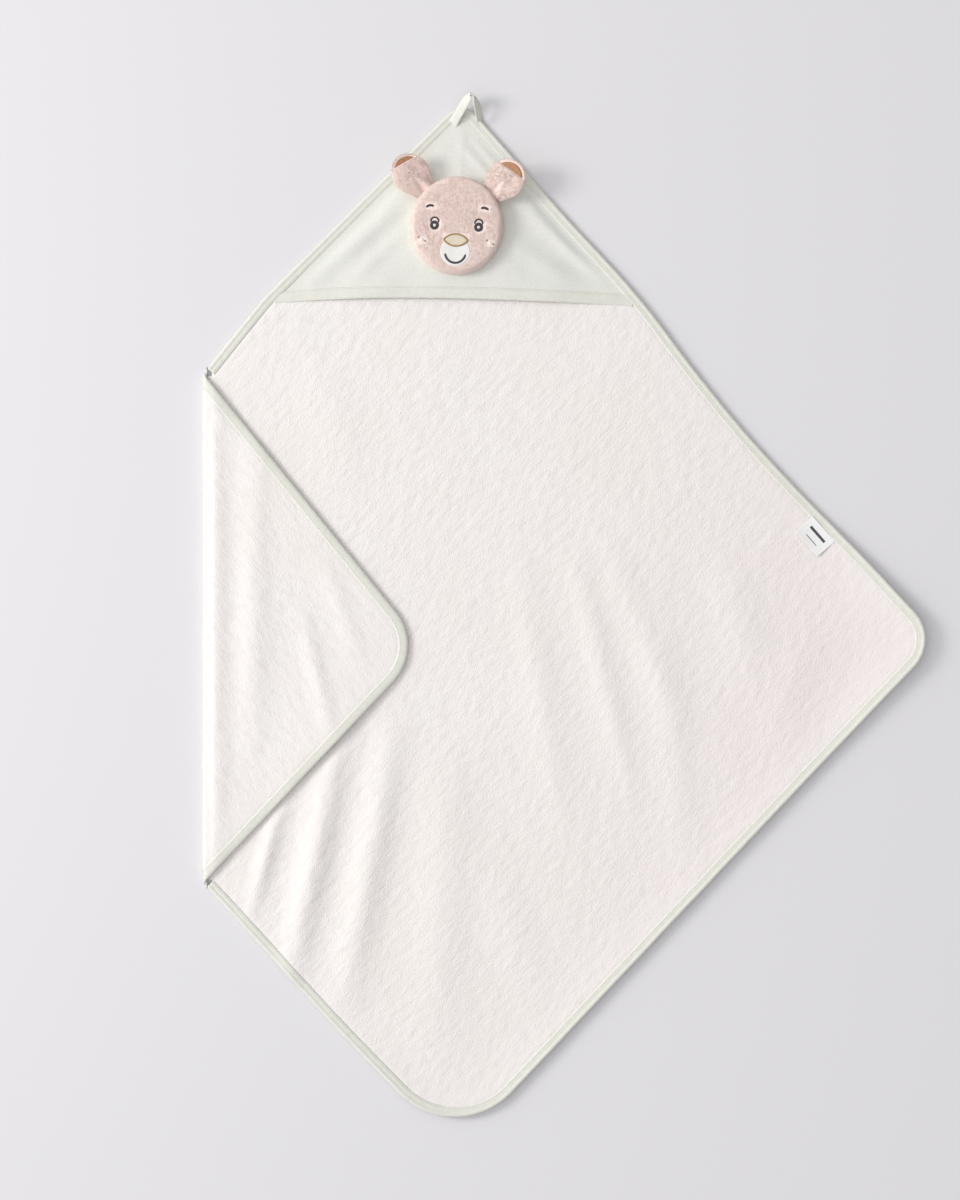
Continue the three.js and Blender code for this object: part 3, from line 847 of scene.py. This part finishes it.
class Ear:
    """One ear in the frame of its sewn base: x across, y up the ear, z out of its front."""

    def __init__(self, side, name):
        self.side, self.name = side, name
        self.base, self.across = joint_place(f"ear_{name}_bend")
        out = np.cross([0, 0, 1], self.across)
        tilt = EAR_TILT[name]
        self.up = out * math.cos(tilt) + np.array([0, 0, 1]) * math.sin(tilt)
        self.front = np.cross(self.across, self.up)

    def place(self, x, y, z):
        """A point of the ear, which cups forwards at its sides and nods forwards at its tip."""
        share = np.clip(y / EAR_LENGTH, 0, 1)
        crease = 2.4 * MM * np.exp(-((x / (3.5 * MM)) ** 2) - ((y - 2 * MM) / (11 * MM)) ** 2)
        forward = z + 0.10 * x * x / EAR_HALF_WIDTH + 3.0 * MM * share ** 3 - crease
        return (self.base + np.multiply.outer(x, self.across) + np.multiply.outer(y, self.up)
                + np.multiply.outer(forward, self.front))

    def edge(self, angle, inset=0.0):
        """The lobe's outline by angle: round above, with a wide sewn base below."""
        low = smoothstep(-np.sin(angle), 0.0, 0.8)
        cosine = np.cos(angle)
        width = (EAR_HALF_WIDTH - inset) * (1 - 0.16 * low)
        x = width * np.sign(cosine) * np.abs(cosine) ** (1 - 0.5 * low)
        return x, EAR_MIDDLE + (EAR_REACH - inset) * np.sin(angle)

    def turned_over(self, x, y):
        """1 on the outer tip past the turned edge, 0 on the plush front."""
        start = (EAR_REACH - EAR_RIM) * math.cos(EAR_LINING_REACH[self.name])
        turn = self.side * EAR_LINING_TURN
        past = (y - EAR_MIDDLE) * math.cos(turn) - x * math.sin(turn) - start
        return smoothstep(past, -0.8 * MM, 0.8 * MM)

    def front_height(self, x, y, share):
        """Height of the plush front at a share of the way from the middle to the edge."""
        dome = EAR_THICKNESS / 2 * (1 - share ** 3.2) ** 0.55
        return dome * (1 - EAR_TIP_THINNING * self.turned_over(x, y))

    def make_lobe(self):
        edge_x, edge_y = self.edge(np.linspace(0, 2 * math.pi, 120, endpoint=False))
        rings, uvs = [], []
        shares = np.sin(np.linspace(0.03, 1, 34) * math.pi / 2)
        for share, is_front in [(s, True) for s in shares] + [(s, False) for s in shares[-2::-3]]:
            x, y = edge_x * share, EAR_MIDDLE + (edge_y - EAR_MIDDLE) * share
            if is_front:
                height = self.front_height(x, y, share) + fluff(x, y + 0.2) * min(1, 4 * (1.1 - share))
            else:
                height = -EAR_THICKNESS / 2 * (1 - share ** 3.2) ** 0.55
            rings.append(self.place(x, y, height))
            uvs.append(pairs(x, y))
        return sweep(f"ear_plush_{self.name}", rings, uvs)

    def make_lining(self):
        """The thin lining that shows past the turned edge, as a crescent inside the ear's rim."""
        middle = math.pi / 2 + self.side * EAR_LINING_TURN
        reach = EAR_LINING_REACH[self.name]
        outer = pairs(*self.edge(np.linspace(middle - reach, middle + reach, 60), EAR_RIM))
        chord = np.linspace(outer[-1], outer[0], 60)[1:-1]
        edge = np.concatenate([outer, chord])
        centre = edge.mean(axis=0)
        rings, uvs = [], []
        for share, up in [(0.02, 1.0), (0.4, 1.0), (0.8, 0.95), (1.0, 0.7), (1.0, -0.3), (0.02, -0.3)]:
            plan = centre + (edge - centre) * share
            rings.append(self.place(*plan.T, np.full(len(plan), 0.9 * MM * up + 0.6 * MM)))
            uvs.append(plan)
        return sweep(f"ear_lining_{self.name}_cloth", rings, uvs)


# ---- loop and label

# The loop's middle line in millimetres and the way its width lies, from its left end to its right end.
LOOP_LINE = [
    ((-18, 589.5, 2.4), (0.86, -0.50, 0.10)), ((-14, 597, 7.5), (0.84, -0.50, 0.20)),
    ((-7, 608, 12), (0.82, -0.48, 0.30)), ((-1, 617, 17.5), (0.74, -0.40, 0.54)),
    ((3.5, 622, 21), (0.40, -0.25, 0.88)), ((7.5, 618.5, 20.5), (-0.25, -0.25, 0.93)),
    ((10, 611, 17.5), (-0.62, -0.15, 0.77)), ((12, 602.5, 13), (-0.70, -0.05, 0.71)),
    ((14, 594, 8), (-0.72, 0.0, 0.69)),
]
LOOP_HALF_WIDTH = 5.5 * MM
LOOP_HALF_THICKNESS = 0.75 * MM


def loop_frames():
    """Points, width ways and face ways along the loop, at even steps."""
    points = np.array([point for point, _ in LOOP_LINE], float) * MM
    widths = np.array([way for _, way in LOOP_LINE])
    at = np.linspace(0, len(points) - 1, 90)
    # Rounded by averaging each value with its neighbours along the line.
    knots = np.arange(len(points))
    spread = np.exp(-(((at[:, None] - knots[None, :]) / 0.62) ** 2))
    spread /= spread.sum(axis=1)[:, None]
    line, across = spread @ points, spread @ widths
    ways = unit(np.gradient(line, axis=0))
    across = unit(across - ways * np.sum(across * ways, axis=1)[:, None])
    return line, across, np.cross(ways, across)


# The loop's section, as shares of its half width and half thickness, with a groove for each seam.
LOOP_SEAM = 0.74
LOOP_SECTION = [
    (-1.0, 0.0), (-0.93, 0.8), (-LOOP_SEAM, 0.55), (-0.5, 1.0), (0.0, 1.1), (0.5, 1.0),
    (LOOP_SEAM, 0.55), (0.93, 0.8), (1.0, 0.0), (0.93, -0.8), (0.5, -1.0), (0.0, -1.05),
    (-0.5, -1.0), (-0.93, -0.8),
]


def make_loop():
    line, across, face = loop_frames()
    along = lengths_along(line)
    return band("hanging_loop_tape", [
        (line + across * wide * LOOP_HALF_WIDTH + face * thick * LOOP_HALF_THICKNESS,
         pairs(along, np.full_like(along, wide * LOOP_HALF_WIDTH)))
        for wide, thick in LOOP_SECTION
    ])


def make_loop_stitches():
    line, across, face = loop_frames()
    rows = []
    for side in (-1, 1):
        seam = side * LOOP_SEAM * LOOP_HALF_WIDTH * across + 0.75 * LOOP_HALF_THICKNESS * face
        points, up = resample(line + seam, 2.8 * MM, face)
        ways = np.diff(points, axis=0)
        rows.append((points[:-1] + 0.1 * ways, points[1:] - 0.15 * ways, up[:-1]))
    return stitch_mesh("loop_stitches", *[np.concatenate(part) for part in zip(*rows)], 0.22 * MM)


LABEL_LENGTH, LABEL_DEPTH, LABEL_TUCK = 38 * MM, 25 * MM, 2 * MM


def label_axes():
    """The middle of the label's sewn edge, the way along it, and the way in from it."""
    middle, edge = joint_place("label_lift")
    inward = np.array([edge[1], -edge[0], 0])
    return middle, edge, inward if inward[0] < 0 else -inward


def label_point(along, depth, height):
    """A place on the label: along its sewn edge, in from it, and over the terry."""
    middle, edge, inward = label_axes()
    plan = middle + np.multiply.outer(along, edge) + np.multiply.outer(depth, inward)
    out = np.maximum(depth, 0) / LABEL_DEPTH
    curl = 3.2 * MM * out ** 2 * (0.4 + 0.6 * (along / LABEL_LENGTH + 0.5))
    wave = 0.35 * MM * np.sin(along / (9 * MM)) * out
    plan[..., 2] = ground(middle[0], middle[1]) + 5.0 * MM + curl + wave + height
    return plan


def make_label():
    u = np.linspace(-LABEL_LENGTH / 2, LABEL_LENGTH / 2, 41)
    v = np.linspace(-LABEL_TUCK, LABEL_DEPTH, 29)
    grid_u, grid_v = np.meshgrid(u, v, indexing="ij")
    ids = np.arange(grid_u.size).reshape(grid_u.shape)
    count = grid_u.size
    top = cell_corners(ids, np.ones_like(ids[1:, 1:], dtype=bool))
    faces = top.tolist() + (top[:, ::-1] + count).tolist()
    border = np.concatenate([ids[:, 0], ids[-1, 1:], ids[-2::-1, -1], ids[0, -2:0:-1]])
    for a, b in zip(border, np.roll(border, -1)):
        faces.append([int(b), int(a), int(a + count), int(b + count)])
    flat_u, flat_v = grid_u.ravel(), grid_v.ravel()
    points = np.concatenate([label_point(flat_u, flat_v, height) for height in (0.15 * MM, -0.15 * MM)])
    return make_object("care_label_satin", points, faces, pairs(np.tile(flat_u, 2), np.tile(flat_v, 2)))


# Plain printed bars in millimetres: start along, length, depth in from the edge, and width.
LABEL_BARS = [(-11.9, 23.8, 6.2, 3.2), (-8.5, 17, 17.1, 0.8)]


def make_label_print():
    points, faces = [], []
    for start, length, depth, width in LABEL_BARS:
        u = np.linspace(start, start + length, 14) * MM
        base = len(points)
        for height in (0.22 * MM, 0.10 * MM):
            for v in (depth * MM, (depth + width) * MM):
                points.extend(label_point(u, np.full_like(u, v), height))
        n = len(u)
        for k in range(n - 1):
            for a, b in ((0, n), (n, 3 * n), (3 * n, 2 * n), (2 * n, 0)):
                faces.append([base + a + k, base + a + k + 1, base + b + k + 1, base + b + k])
        for k in (0, n - 1):
            faces.append([base + k, base + n + k, base + 3 * n + k, base + 2 * n + k])
    return make_object("care_label_bars", points, faces, smooth=False)


# ---- nap

def make_nap(name, roots, ups, leans, length, radius, seed):
    """Short plush fibres: one slim three-sided spike at each root, leaning with the nap."""
    random = np.random.default_rng(seed)
    count = len(roots)
    ways = unit(ups + leans + random.normal(0, 0.22, (count, 3)))
    tips = roots + ways * (length * random.uniform(0.6, 1.15, count))[:, None]
    side = unit(np.cross(ways, random.normal(0, 1, (count, 3))))
    other = np.cross(ways, side)
    roots = roots - ways * 0.4 * MM
    corners = [
        roots + radius * (side * math.cos(angle) + other * math.sin(angle))
        for angle in (0, 2 * math.pi / 3, 4 * math.pi / 3)
    ]
    points = np.stack([*corners, tips], axis=1).reshape(-1, 3)
    base = np.arange(count)[:, None] * 4
    faces = np.concatenate([base + np.array(f) for f in ((2, 1, 0), (0, 1, 3), (1, 2, 3), (2, 0, 3))])
    return make_object(name, points, faces.tolist())


def scattered(seed, count):
    """Evenly scattered places on a disc: shares of its radius and bearings."""
    random = np.random.default_rng(seed)
    return np.sqrt(random.uniform(0, 1, count)), random.uniform(0, 2 * math.pi, count)


def make_face_nap():
    rho, angle = scattered(71, 26000)
    x, y = rho * FACE_RADIUS_X * np.cos(angle), rho * FACE_RADIUS_Y * np.sin(angle)
    stitched = ((x / 17.5) ** 2 + ((y - MUZZLE_Y) / 16.5) ** 2) < MM ** 2
    stitched |= (np.abs(x) < 15.5 * MM) & (np.abs(y - NOSE_Y) < 8.5 * MM)
    for side in (-1, 1):
        stitched |= np.hypot(x - side * EYE_X, y - EYE_Y - 1.2 * MM) < 8 * MM
        stitched |= (np.abs(x - side * CHEEK_X) < 5.2 * MM) & (np.abs(y - CHEEK_Y) < 4 * MM)
        stitched |= (np.abs(x - side * BROW_X) < 7 * MM) & (np.abs(y - BROW_Y - 6 * MM) < 4 * MM)
    x, y = x[~stitched], y[~stitched]
    step = 0.5 * MM
    slope_x = (face_height(x + step, y) - face_height(x - step, y)) / (2 * step)
    slope_y = (face_height(x, y + step) - face_height(x, y - step)) / (2 * step)
    ups = unit(np.stack([-slope_x, -slope_y, np.ones_like(x)], axis=1))
    roots = on_face(pairs(x, y), face_height(x, y) + fluff(x, y))
    leans = np.tile([0.05, -1.1, 0.0], (len(x), 1))
    return make_nap("face_nap", roots, ups, leans, 1.8 * MM, 0.13 * MM, 72)


def make_ear_nap(ear):
    share, angle = scattered(73 + ear.side, 5200)
    edge_x, edge_y = ear.edge(angle)
    x, y = edge_x * share, EAR_MIDDLE + (edge_y - EAR_MIDDLE) * share
    front = (ear.turned_over(x, y) < 0.05) | (share > 0.93)
    x, y, share = x[front], y[front], share[front]
    roots = ear.place(x, y, ear.front_height(x, y, share))
    ups = unit(roots - ear.place(0.0, EAR_MIDDLE, -12 * MM))
    leans = np.tile(ear.up * 0.9, (len(x), 1))
    return make_nap(f"ear_nap_{ear.name}", roots, ups, leans, 2.0 * MM, 0.17 * MM, 75 + ear.side)


# ---- materials

def add_node(tree, kind, **inputs):
    """A new shader node. Each input is linked from a socket or set to a value."""
    node = tree.nodes.new("ShaderNode" + kind)
    for name, value in inputs.items():
        socket = node.inputs[name.replace("_", " ")]
        if isinstance(value, bpy.types.NodeSocket):
            tree.links.new(value, socket)
        else:
            socket.default_value = value
    return node


def add_slope(tree, coordinate, direction):
    """How far each point is along a direction."""
    product = add_node(tree, "VectorMath")
    product.operation = "DOT_PRODUCT"
    product.inputs[1].default_value = direction
    tree.links.new(add_node(tree, "TexCoord").outputs[coordinate], product.inputs[0])
    return product.outputs["Value"]


class Finish:
    """A fabric finish built on one Principled shader."""

    def __init__(self, name, color, roughness, sheen, sheen_roughness, specular):
        self.material = bpy.data.materials.new(name)
        self.material.use_nodes = True
        self.tree = self.material.node_tree
        self.shader = self.tree.nodes["Principled BSDF"]
        self.color = (*color, 1.0)
        self.shader.inputs["Base Color"].default_value = self.color
        self.shader.inputs["Roughness"].default_value = roughness
        self.shader.inputs["Sheen Weight"].default_value = sheen
        self.shader.inputs["Sheen Roughness"].default_value = sheen_roughness
        self.shader.inputs["Specular IOR Level"].default_value = specular
        self.bump = None

    def place(self, stretch=(1, 1, 1), angle=0.0, source="UV"):
        """The plan coordinate, in metres, for a pattern stretched along axes turned by angle."""
        coordinates = add_node(self.tree, "TexCoord").outputs[source]
        turn = (0, 0, angle)
        mapping = add_node(self.tree, "Mapping", Vector=coordinates, Scale=stretch, Rotation=turn)
        mapping.vector_type = "TEXTURE"
        return mapping.outputs["Vector"]

    def noise(self, place, size, detail=2.0, roughness=0.5):
        return add_node(
            self.tree, "TexNoise", Vector=place, Scale=1 / size, Detail=detail, Roughness=roughness,
        ).outputs["Fac"]

    def cells(self, place, size):
        return add_node(self.tree, "TexVoronoi", Vector=place, Scale=1 / size).outputs["Distance"]

    def waves(self, place, pitch, distortion=0.0, direction="X"):
        # Blender's wave texture repeats every pi / 10 of its scaled coordinate.
        scale = 1 / (pitch * 3.1831)
        texture = add_node(self.tree, "TexWave", Vector=place, Scale=scale, Distortion=distortion)
        texture.bands_direction = direction
        texture.inputs["Detail Scale"].default_value = 1.5
        return texture.outputs["Fac"]

    def shade(self, value, dark, light, dark_color):
        """Tints the base colour: dark_color where value is dark, its full shade where it is light."""
        mix = add_node(self.tree, "Mix")
        mix.data_type = "RGBA"
        limits = add_node(self.tree, "MapRange", Value=value, From_Min=dark, From_Max=light)
        self.tree.links.new(limits.outputs["Result"], mix.inputs["Factor"])
        mix.inputs["A"].default_value = (*dark_color, 1.0)
        mix.inputs["B"].default_value = self.color
        base = self.shader.inputs["Base Color"]
        if base.links:
            self.tree.links.new(base.links[0].from_socket, mix.inputs["B"])
        self.tree.links.new(mix.outputs["Result"], base)

    def relief(self, value, depth, strength):
        """Adds a bump of the given depth in metres, on top of any before it."""
        bump = add_node(self.tree, "Bump", Height=value, Distance=depth, Strength=strength)
        if self.bump:
            self.tree.links.new(self.bump, bump.inputs["Normal"])
        self.bump = bump.outputs["Normal"]
        self.tree.links.new(self.bump, self.shader.inputs["Normal"])
        return self


def terry_finish():
    finish = Finish("terry", (0.845, 0.81, 0.785), 1.0, 0.15, 0.6, 0.1)
    place = finish.place()
    streaks = finish.place((2.2, 1.0, 1.0), math.radians(46))
    loops = finish.cells(place, 1.6 * MM)
    clumps = finish.noise(streaks, 7.5 * MM, 3.0, 0.55)
    tone = finish.noise(place, 0.16, 2.0)
    painted_shade_rightwards = add_slope(finish.tree, "UV", (1.0, -0.25, 0.0))
    finish.relief(clumps, 1.5 * MM, 0.65).relief(loops, 0.5 * MM, 0.6)
    # Painted shade: the terry is darker where its clumps are low, in the hollows of their relief.
    finish.shade(clumps, 0.30, 0.52, (0.80, 0.76, 0.73))
    finish.shade(tone, 0.30, 0.60, (0.83, 0.785, 0.755))
    # Painted shade: the terry turns darker and pinker towards the right, away from the light.
    finish.shade(painted_shade_rightwards, 0.55, -0.05, (0.83, 0.765, 0.745))
    return finish.material


def knit_finish(name, color, dark, angle, wobble, row_depth, mottle_size, mottle_depth, mottling):
    """Cotton knit: ribs one way and rows the other, slightly uneven."""
    finish = Finish(name, color, 0.85, 0.12, 0.5, 0.2)
    ribs = finish.waves(finish.place(angle=angle), 0.9 * MM, wobble)
    rows = finish.waves(finish.place(angle=angle), 0.7 * MM, wobble, "Y")
    mottle = finish.noise(finish.place(), mottle_size, 3.0)
    finish.relief(ribs, 0.10 * MM, 0.6).relief(rows, row_depth, 0.5).relief(mottle, mottle_depth, mottling)
    # Darker where the mottle is low: partly the yarn's uneven tone, partly painted shade in the mottle's
    # hollows.
    finish.shade(mottle, 0.30, 0.62, dark)
    return finish.material


def jersey_finish():
    # The second colour is partly the yarn's uneven tone, partly painted shade in the mottle's hollows.
    return knit_finish(
        "mint_jersey", (0.755, 0.757, 0.71), (0.71, 0.715, 0.655), math.radians(45), 0.4,
        row_depth=0.06 * MM, mottle_size=3 * MM, mottle_depth=0.25 * MM, mottling=0.3,
    )


def tape_finish():
    # The second colour is partly the yarn's uneven tone, partly painted shade in the mottle's hollows.
    return knit_finish(
        "mint_tape", (0.75, 0.74, 0.675), (0.70, 0.70, 0.63), 0.0, 0.3,
        row_depth=0.08 * MM, mottle_size=5 * MM, mottle_depth=0.4 * MM, mottling=0.35,
    )


def plush_finish(name, color, dark, pale):
    finish = Finish(name, color, 1.0, 0.2, 0.5, 0.1)
    nap = finish.noise(finish.place((1.0, 4.5, 1.0)), 1.3 * MM, 4.0, 0.6)
    clumps = finish.noise(finish.place((1.0, 2.5, 1.0)), 4.0 * MM, 3.0)
    finish.relief(clumps, 0.3 * MM, 0.3).relief(nap, 0.3 * MM, 0.5)
    # Painted shade: the plush is darker where its nap streaks are low.
    finish.shade(nap, 0.28, 0.50, dark)
    # Painted highlight: the plush is paler where its clumps stand high.
    finish.shade(clumps, 0.66, 0.40, pale)
    return finish.material


def nap_finish(name, color, pale):
    finish = Finish(name, color, 0.95, 0.2, 0.5, 0.1)
    finish.shade(finish.noise(finish.place(source="Object"), 1.8 * MM, 2.0), 0.35, 0.62, pale)
    return finish.material


def thread_finish(name, color, dark):
    finish = Finish(name, color, 0.5, 0.2, 0.4, 0.45)
    strands = finish.waves(finish.place(), 0.45 * MM, 1.2)
    wear = finish.noise(finish.place(), 1.2 * MM, 3.0)
    finish.relief(strands, 0.16 * MM, 0.7)
    # Painted shade: the thread is darker in the grooves between its strands.
    finish.shade(strands, 0.0, 0.45, dark)
    finish.relief(wear, 0.12 * MM, 0.4)
    return finish.material


def lining_finish():
    finish = Finish("tan_lining", (0.50, 0.265, 0.15), 0.8, 0.25, 0.4, 0.25)
    weave = finish.place()
    finish.relief(finish.waves(weave, 0.6 * MM, 0.3), 0.12 * MM, 0.7)
    finish.relief(finish.waves(weave, 0.6 * MM, 0.3, "Y"), 0.12 * MM, 0.7)
    finish.shade(finish.noise(weave, 2.5 * MM, 3.0), 0.30, 0.62, (0.39, 0.195, 0.105))
    return finish.material


def satin_finish():
    finish = Finish("satin", (0.92, 0.91, 0.90), 0.4, 0.1, 0.3, 0.4)
    weave = finish.place()
    finish.shader.inputs["Anisotropic"].default_value = 0.4
    finish.relief(finish.waves(weave, 0.35 * MM, 0.2, "Y"), 0.05 * MM, 0.6)
    finish.shade(finish.noise(weave, 4 * MM, 2.0), 0.30, 0.60, (0.88, 0.87, 0.865))
    return finish.material


def floor_finish():
    """Plain pale paper."""
    return Finish("studio_floor", (0.725, 0.715, 0.728), 0.9, 0.0, 0.5, 0.1).material


TERRY = terry_finish()
JERSEY = jersey_finish()
TAPE = tape_finish()
# The plush's second colour is painted shade in the hollows of its nap; its third is a painted highlight on
# its raised clumps.
PLUSH = plush_finish("pink_plush", (0.88, 0.72, 0.66), (0.80, 0.62, 0.555), (0.90, 0.77, 0.72))
NAP = nap_finish("pink_nap", (0.88, 0.715, 0.655), (0.91, 0.78, 0.73))
LINING = lining_finish()
SATIN = satin_finish()
# Here and in the seam thread and label print below, each second colour is painted shade in the grooves
# between strands.
THREADS = {
    "white_thread": thread_finish("white_thread", (0.90, 0.89, 0.86), (0.80, 0.785, 0.75)),
    "cream_thread": thread_finish("cream_thread", (0.80, 0.72, 0.56), (0.68, 0.58, 0.42)),
    "gold_thread": thread_finish("gold_thread", (0.46, 0.30, 0.13), (0.34, 0.20, 0.08)),
    "dark_thread": thread_finish("dark_thread", (0.060, 0.050, 0.065), (0.030, 0.024, 0.034)),
}
SEAM_THREAD = thread_finish("seam_thread", (0.75, 0.755, 0.69), (0.66, 0.665, 0.60))
PRINT = thread_finish("label_print", (0.10, 0.10, 0.11), (0.07, 0.07, 0.08))


def dress(piece, material, slot):
    piece.data.materials.append(material)
    return piece


# ---- camera, floor and light

# How much of the floor the picture shows from its top to its bottom.
PICTURE_HEIGHT = 1.362


def make_camera():
    """Straight above the towel, with the hood at the top of the picture."""
    data = bpy.data.cameras.new("camera")
    data.lens, data.sensor_width = 70, 36
    camera = bpy.data.objects.new("camera", data)
    camera.location = (0.0136, 0.0522, PICTURE_HEIGHT * data.lens / data.sensor_width)
    bpy.context.scene.collection.objects.link(camera)
    bpy.context.scene.camera = camera


def make_floor():
    mesh = bpy.data.meshes.new("floor")
    reach, level = 6.0, -0.3 * MM
    places = [(x * reach, y * reach, level) for x, y in ((-1, -1), (1, -1), (1, 1), (-1, 1))]
    mesh.from_pydata(places, [], [(0, 1, 2, 3)])
    mesh.materials.append(floor_finish())
    floor = bpy.data.objects.new("floor", mesh)
    bpy.context.scene.collection.objects.link(floor)
    floor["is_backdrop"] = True


def make_surround():
    """A pale surround that is brighter up to the left."""
    world = bpy.data.worlds.new("surround")
    world.use_nodes = True
    tree = world.node_tree
    background = tree.nodes["Background"]
    background.inputs["Color"].default_value = (0.985, 0.985, 1.0, 1.0)
    toward = add_slope(tree, "Generated", (-0.640, 0.060, 0.766))
    glow = add_node(tree, "MapRange", Value=toward, From_Min=0.2, To_Min=0.36, To_Max=1.36)
    tree.links.new(glow.outputs["Result"], background.inputs["Strength"])
    bpy.context.scene.world = world


def make_light():
    """A soft key low on the left."""
    data = bpy.data.lights.new("key", "AREA")
    data.shape = "DISK"
    data.size, data.energy, data.color = 1.4, 66, (1.0, 0.985, 0.965)
    light = bpy.data.objects.new("key", data)
    light.location = (-3.08, 0.60, 2.10)
    aim = Vector((0.0, 0.05, 0.0)) - light.location
    light.rotation_euler = aim.to_track_quat("-Z", "Y").to_euler()
    bpy.context.scene.collection.objects.link(light)
    view = bpy.context.scene.view_settings
    view.view_transform = "Standard"
    view.look = "None"


# ---- assembly

def bend_at_hood(piece):
    """Bakes the piece's placement into its mesh."""
    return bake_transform(piece)


def bend_at_fold(piece):
    """Bakes the flap piece's placement into its mesh."""
    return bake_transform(piece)


def bend_at_label(piece):
    """Bakes the label's placement into its mesh."""
    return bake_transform(piece)


def bend_at_loop(piece):
    """Bakes the loop piece's placement into its mesh."""
    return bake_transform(piece)


def build_cloth():
    terry = bend_at_hood(dress(make_terry_middle(), TERRY, "terry"))
    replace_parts(terry, "terry_sheet_main", "terry_sheet_hood_corner")
    flap = bend_at_fold(dress(make_terry_flap(), TERRY, "terry"))
    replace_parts(flap, "terry_sheet_flap")

    (flat_places, flat_normals), (flap_places, flap_normals) = tape_runs()
    tape = make_tape("binding_tape", flat_places, flat_normals, place_flat)
    bend_at_hood(dress(tape, TAPE, "mint_tape"))
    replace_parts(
        tape, "binding_upper_left", "binding_upper_right", "binding_lower_right", "binding_lower_left",
        "binding_hood_left", "binding_hood_right",
    )
    flap_tape = make_tape("binding_tape_flap", flap_places, flap_normals, place_folded)
    bend_at_fold(dress(flap_tape, TAPE, "mint_tape"))
    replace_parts(flap_tape, "binding_flap")
    line = tape_point(flat_places, flat_normals, STITCH_INSET, 4.5 * MM, place_flat)
    stitches = make_topstitches("binding_stitches", line)
    bend_at_hood(dress(stitches, SEAM_THREAD, "mint_tape"))
    # The folded tape shows its under side, and its stitches stop short of the roll.
    line = tape_point(flap_places[4:-4], flap_normals[4:-4], STITCH_INSET, 0.0, place_folded)
    flap_stitches = make_topstitches("binding_stitches_flap", line)
    bend_at_fold(dress(flap_stitches, SEAM_THREAD, "mint_tape"))


def build_hood():
    panel = dress(make_hood_panel(), JERSEY, "mint_jersey")
    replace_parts(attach(panel, "hood"), "hood_panel")
    hem = dress(make_hem(), TAPE, "mint_tape")
    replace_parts(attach(hem, "hood"), "hood_mouth_hem")
    stitches = make_topstitches("hem_stitches", on_hem(HEM_STITCH, 0.66 * MM))
    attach(dress(stitches, SEAM_THREAD, "mint_tape"), "hood")


def build_face():
    plush = dress(make_face_plush(), PLUSH, "pink_plush")
    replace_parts(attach(plush, "hood"), "face_plush", "face_padding")
    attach(dress(make_face_nap(), NAP, "pink_plush"), "hood")
    for piece, node, slot in make_embroidery():
        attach(dress(piece, THREADS[slot], slot), "hood")
        if node:
            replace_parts(piece, node)


def build_ears():
    for side, name in ((-1, "left"), (1, "right")):
        ear = Ear(side, name)
        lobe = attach(dress(ear.make_lobe(), PLUSH, "pink_plush"), f"ear_{name}")
        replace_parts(lobe, f"ear_{name}")
        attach(dress(make_ear_nap(ear), NAP, "pink_plush"), f"ear_{name}")
        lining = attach(dress(ear.make_lining(), LINING, "tan_lining"), f"ear_{name}")
        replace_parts(lining, f"ear_lining_{name}")


def build_trims():
    loop = bend_at_loop(dress(make_loop(), TAPE, "mint_tape"))
    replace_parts(loop, "hanging_loop")
    bend_at_loop(dress(make_loop_stitches(), SEAM_THREAD, "mint_tape"))
    label = bend_at_label(dress(make_label(), SATIN, "satin"))
    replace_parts(label, "care_label")
    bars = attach(dress(make_label_print(), PRINT, "satin"), "care_label")


make_camera()
make_floor()
make_surround()
make_light()
build_cloth()
build_hood()
build_face()
build_ears()
build_trims()


def corners(box):
    return [[float(value) for value in corner] for corner in box]


{"cad": corners(cad_box), "visual": corners(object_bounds())}
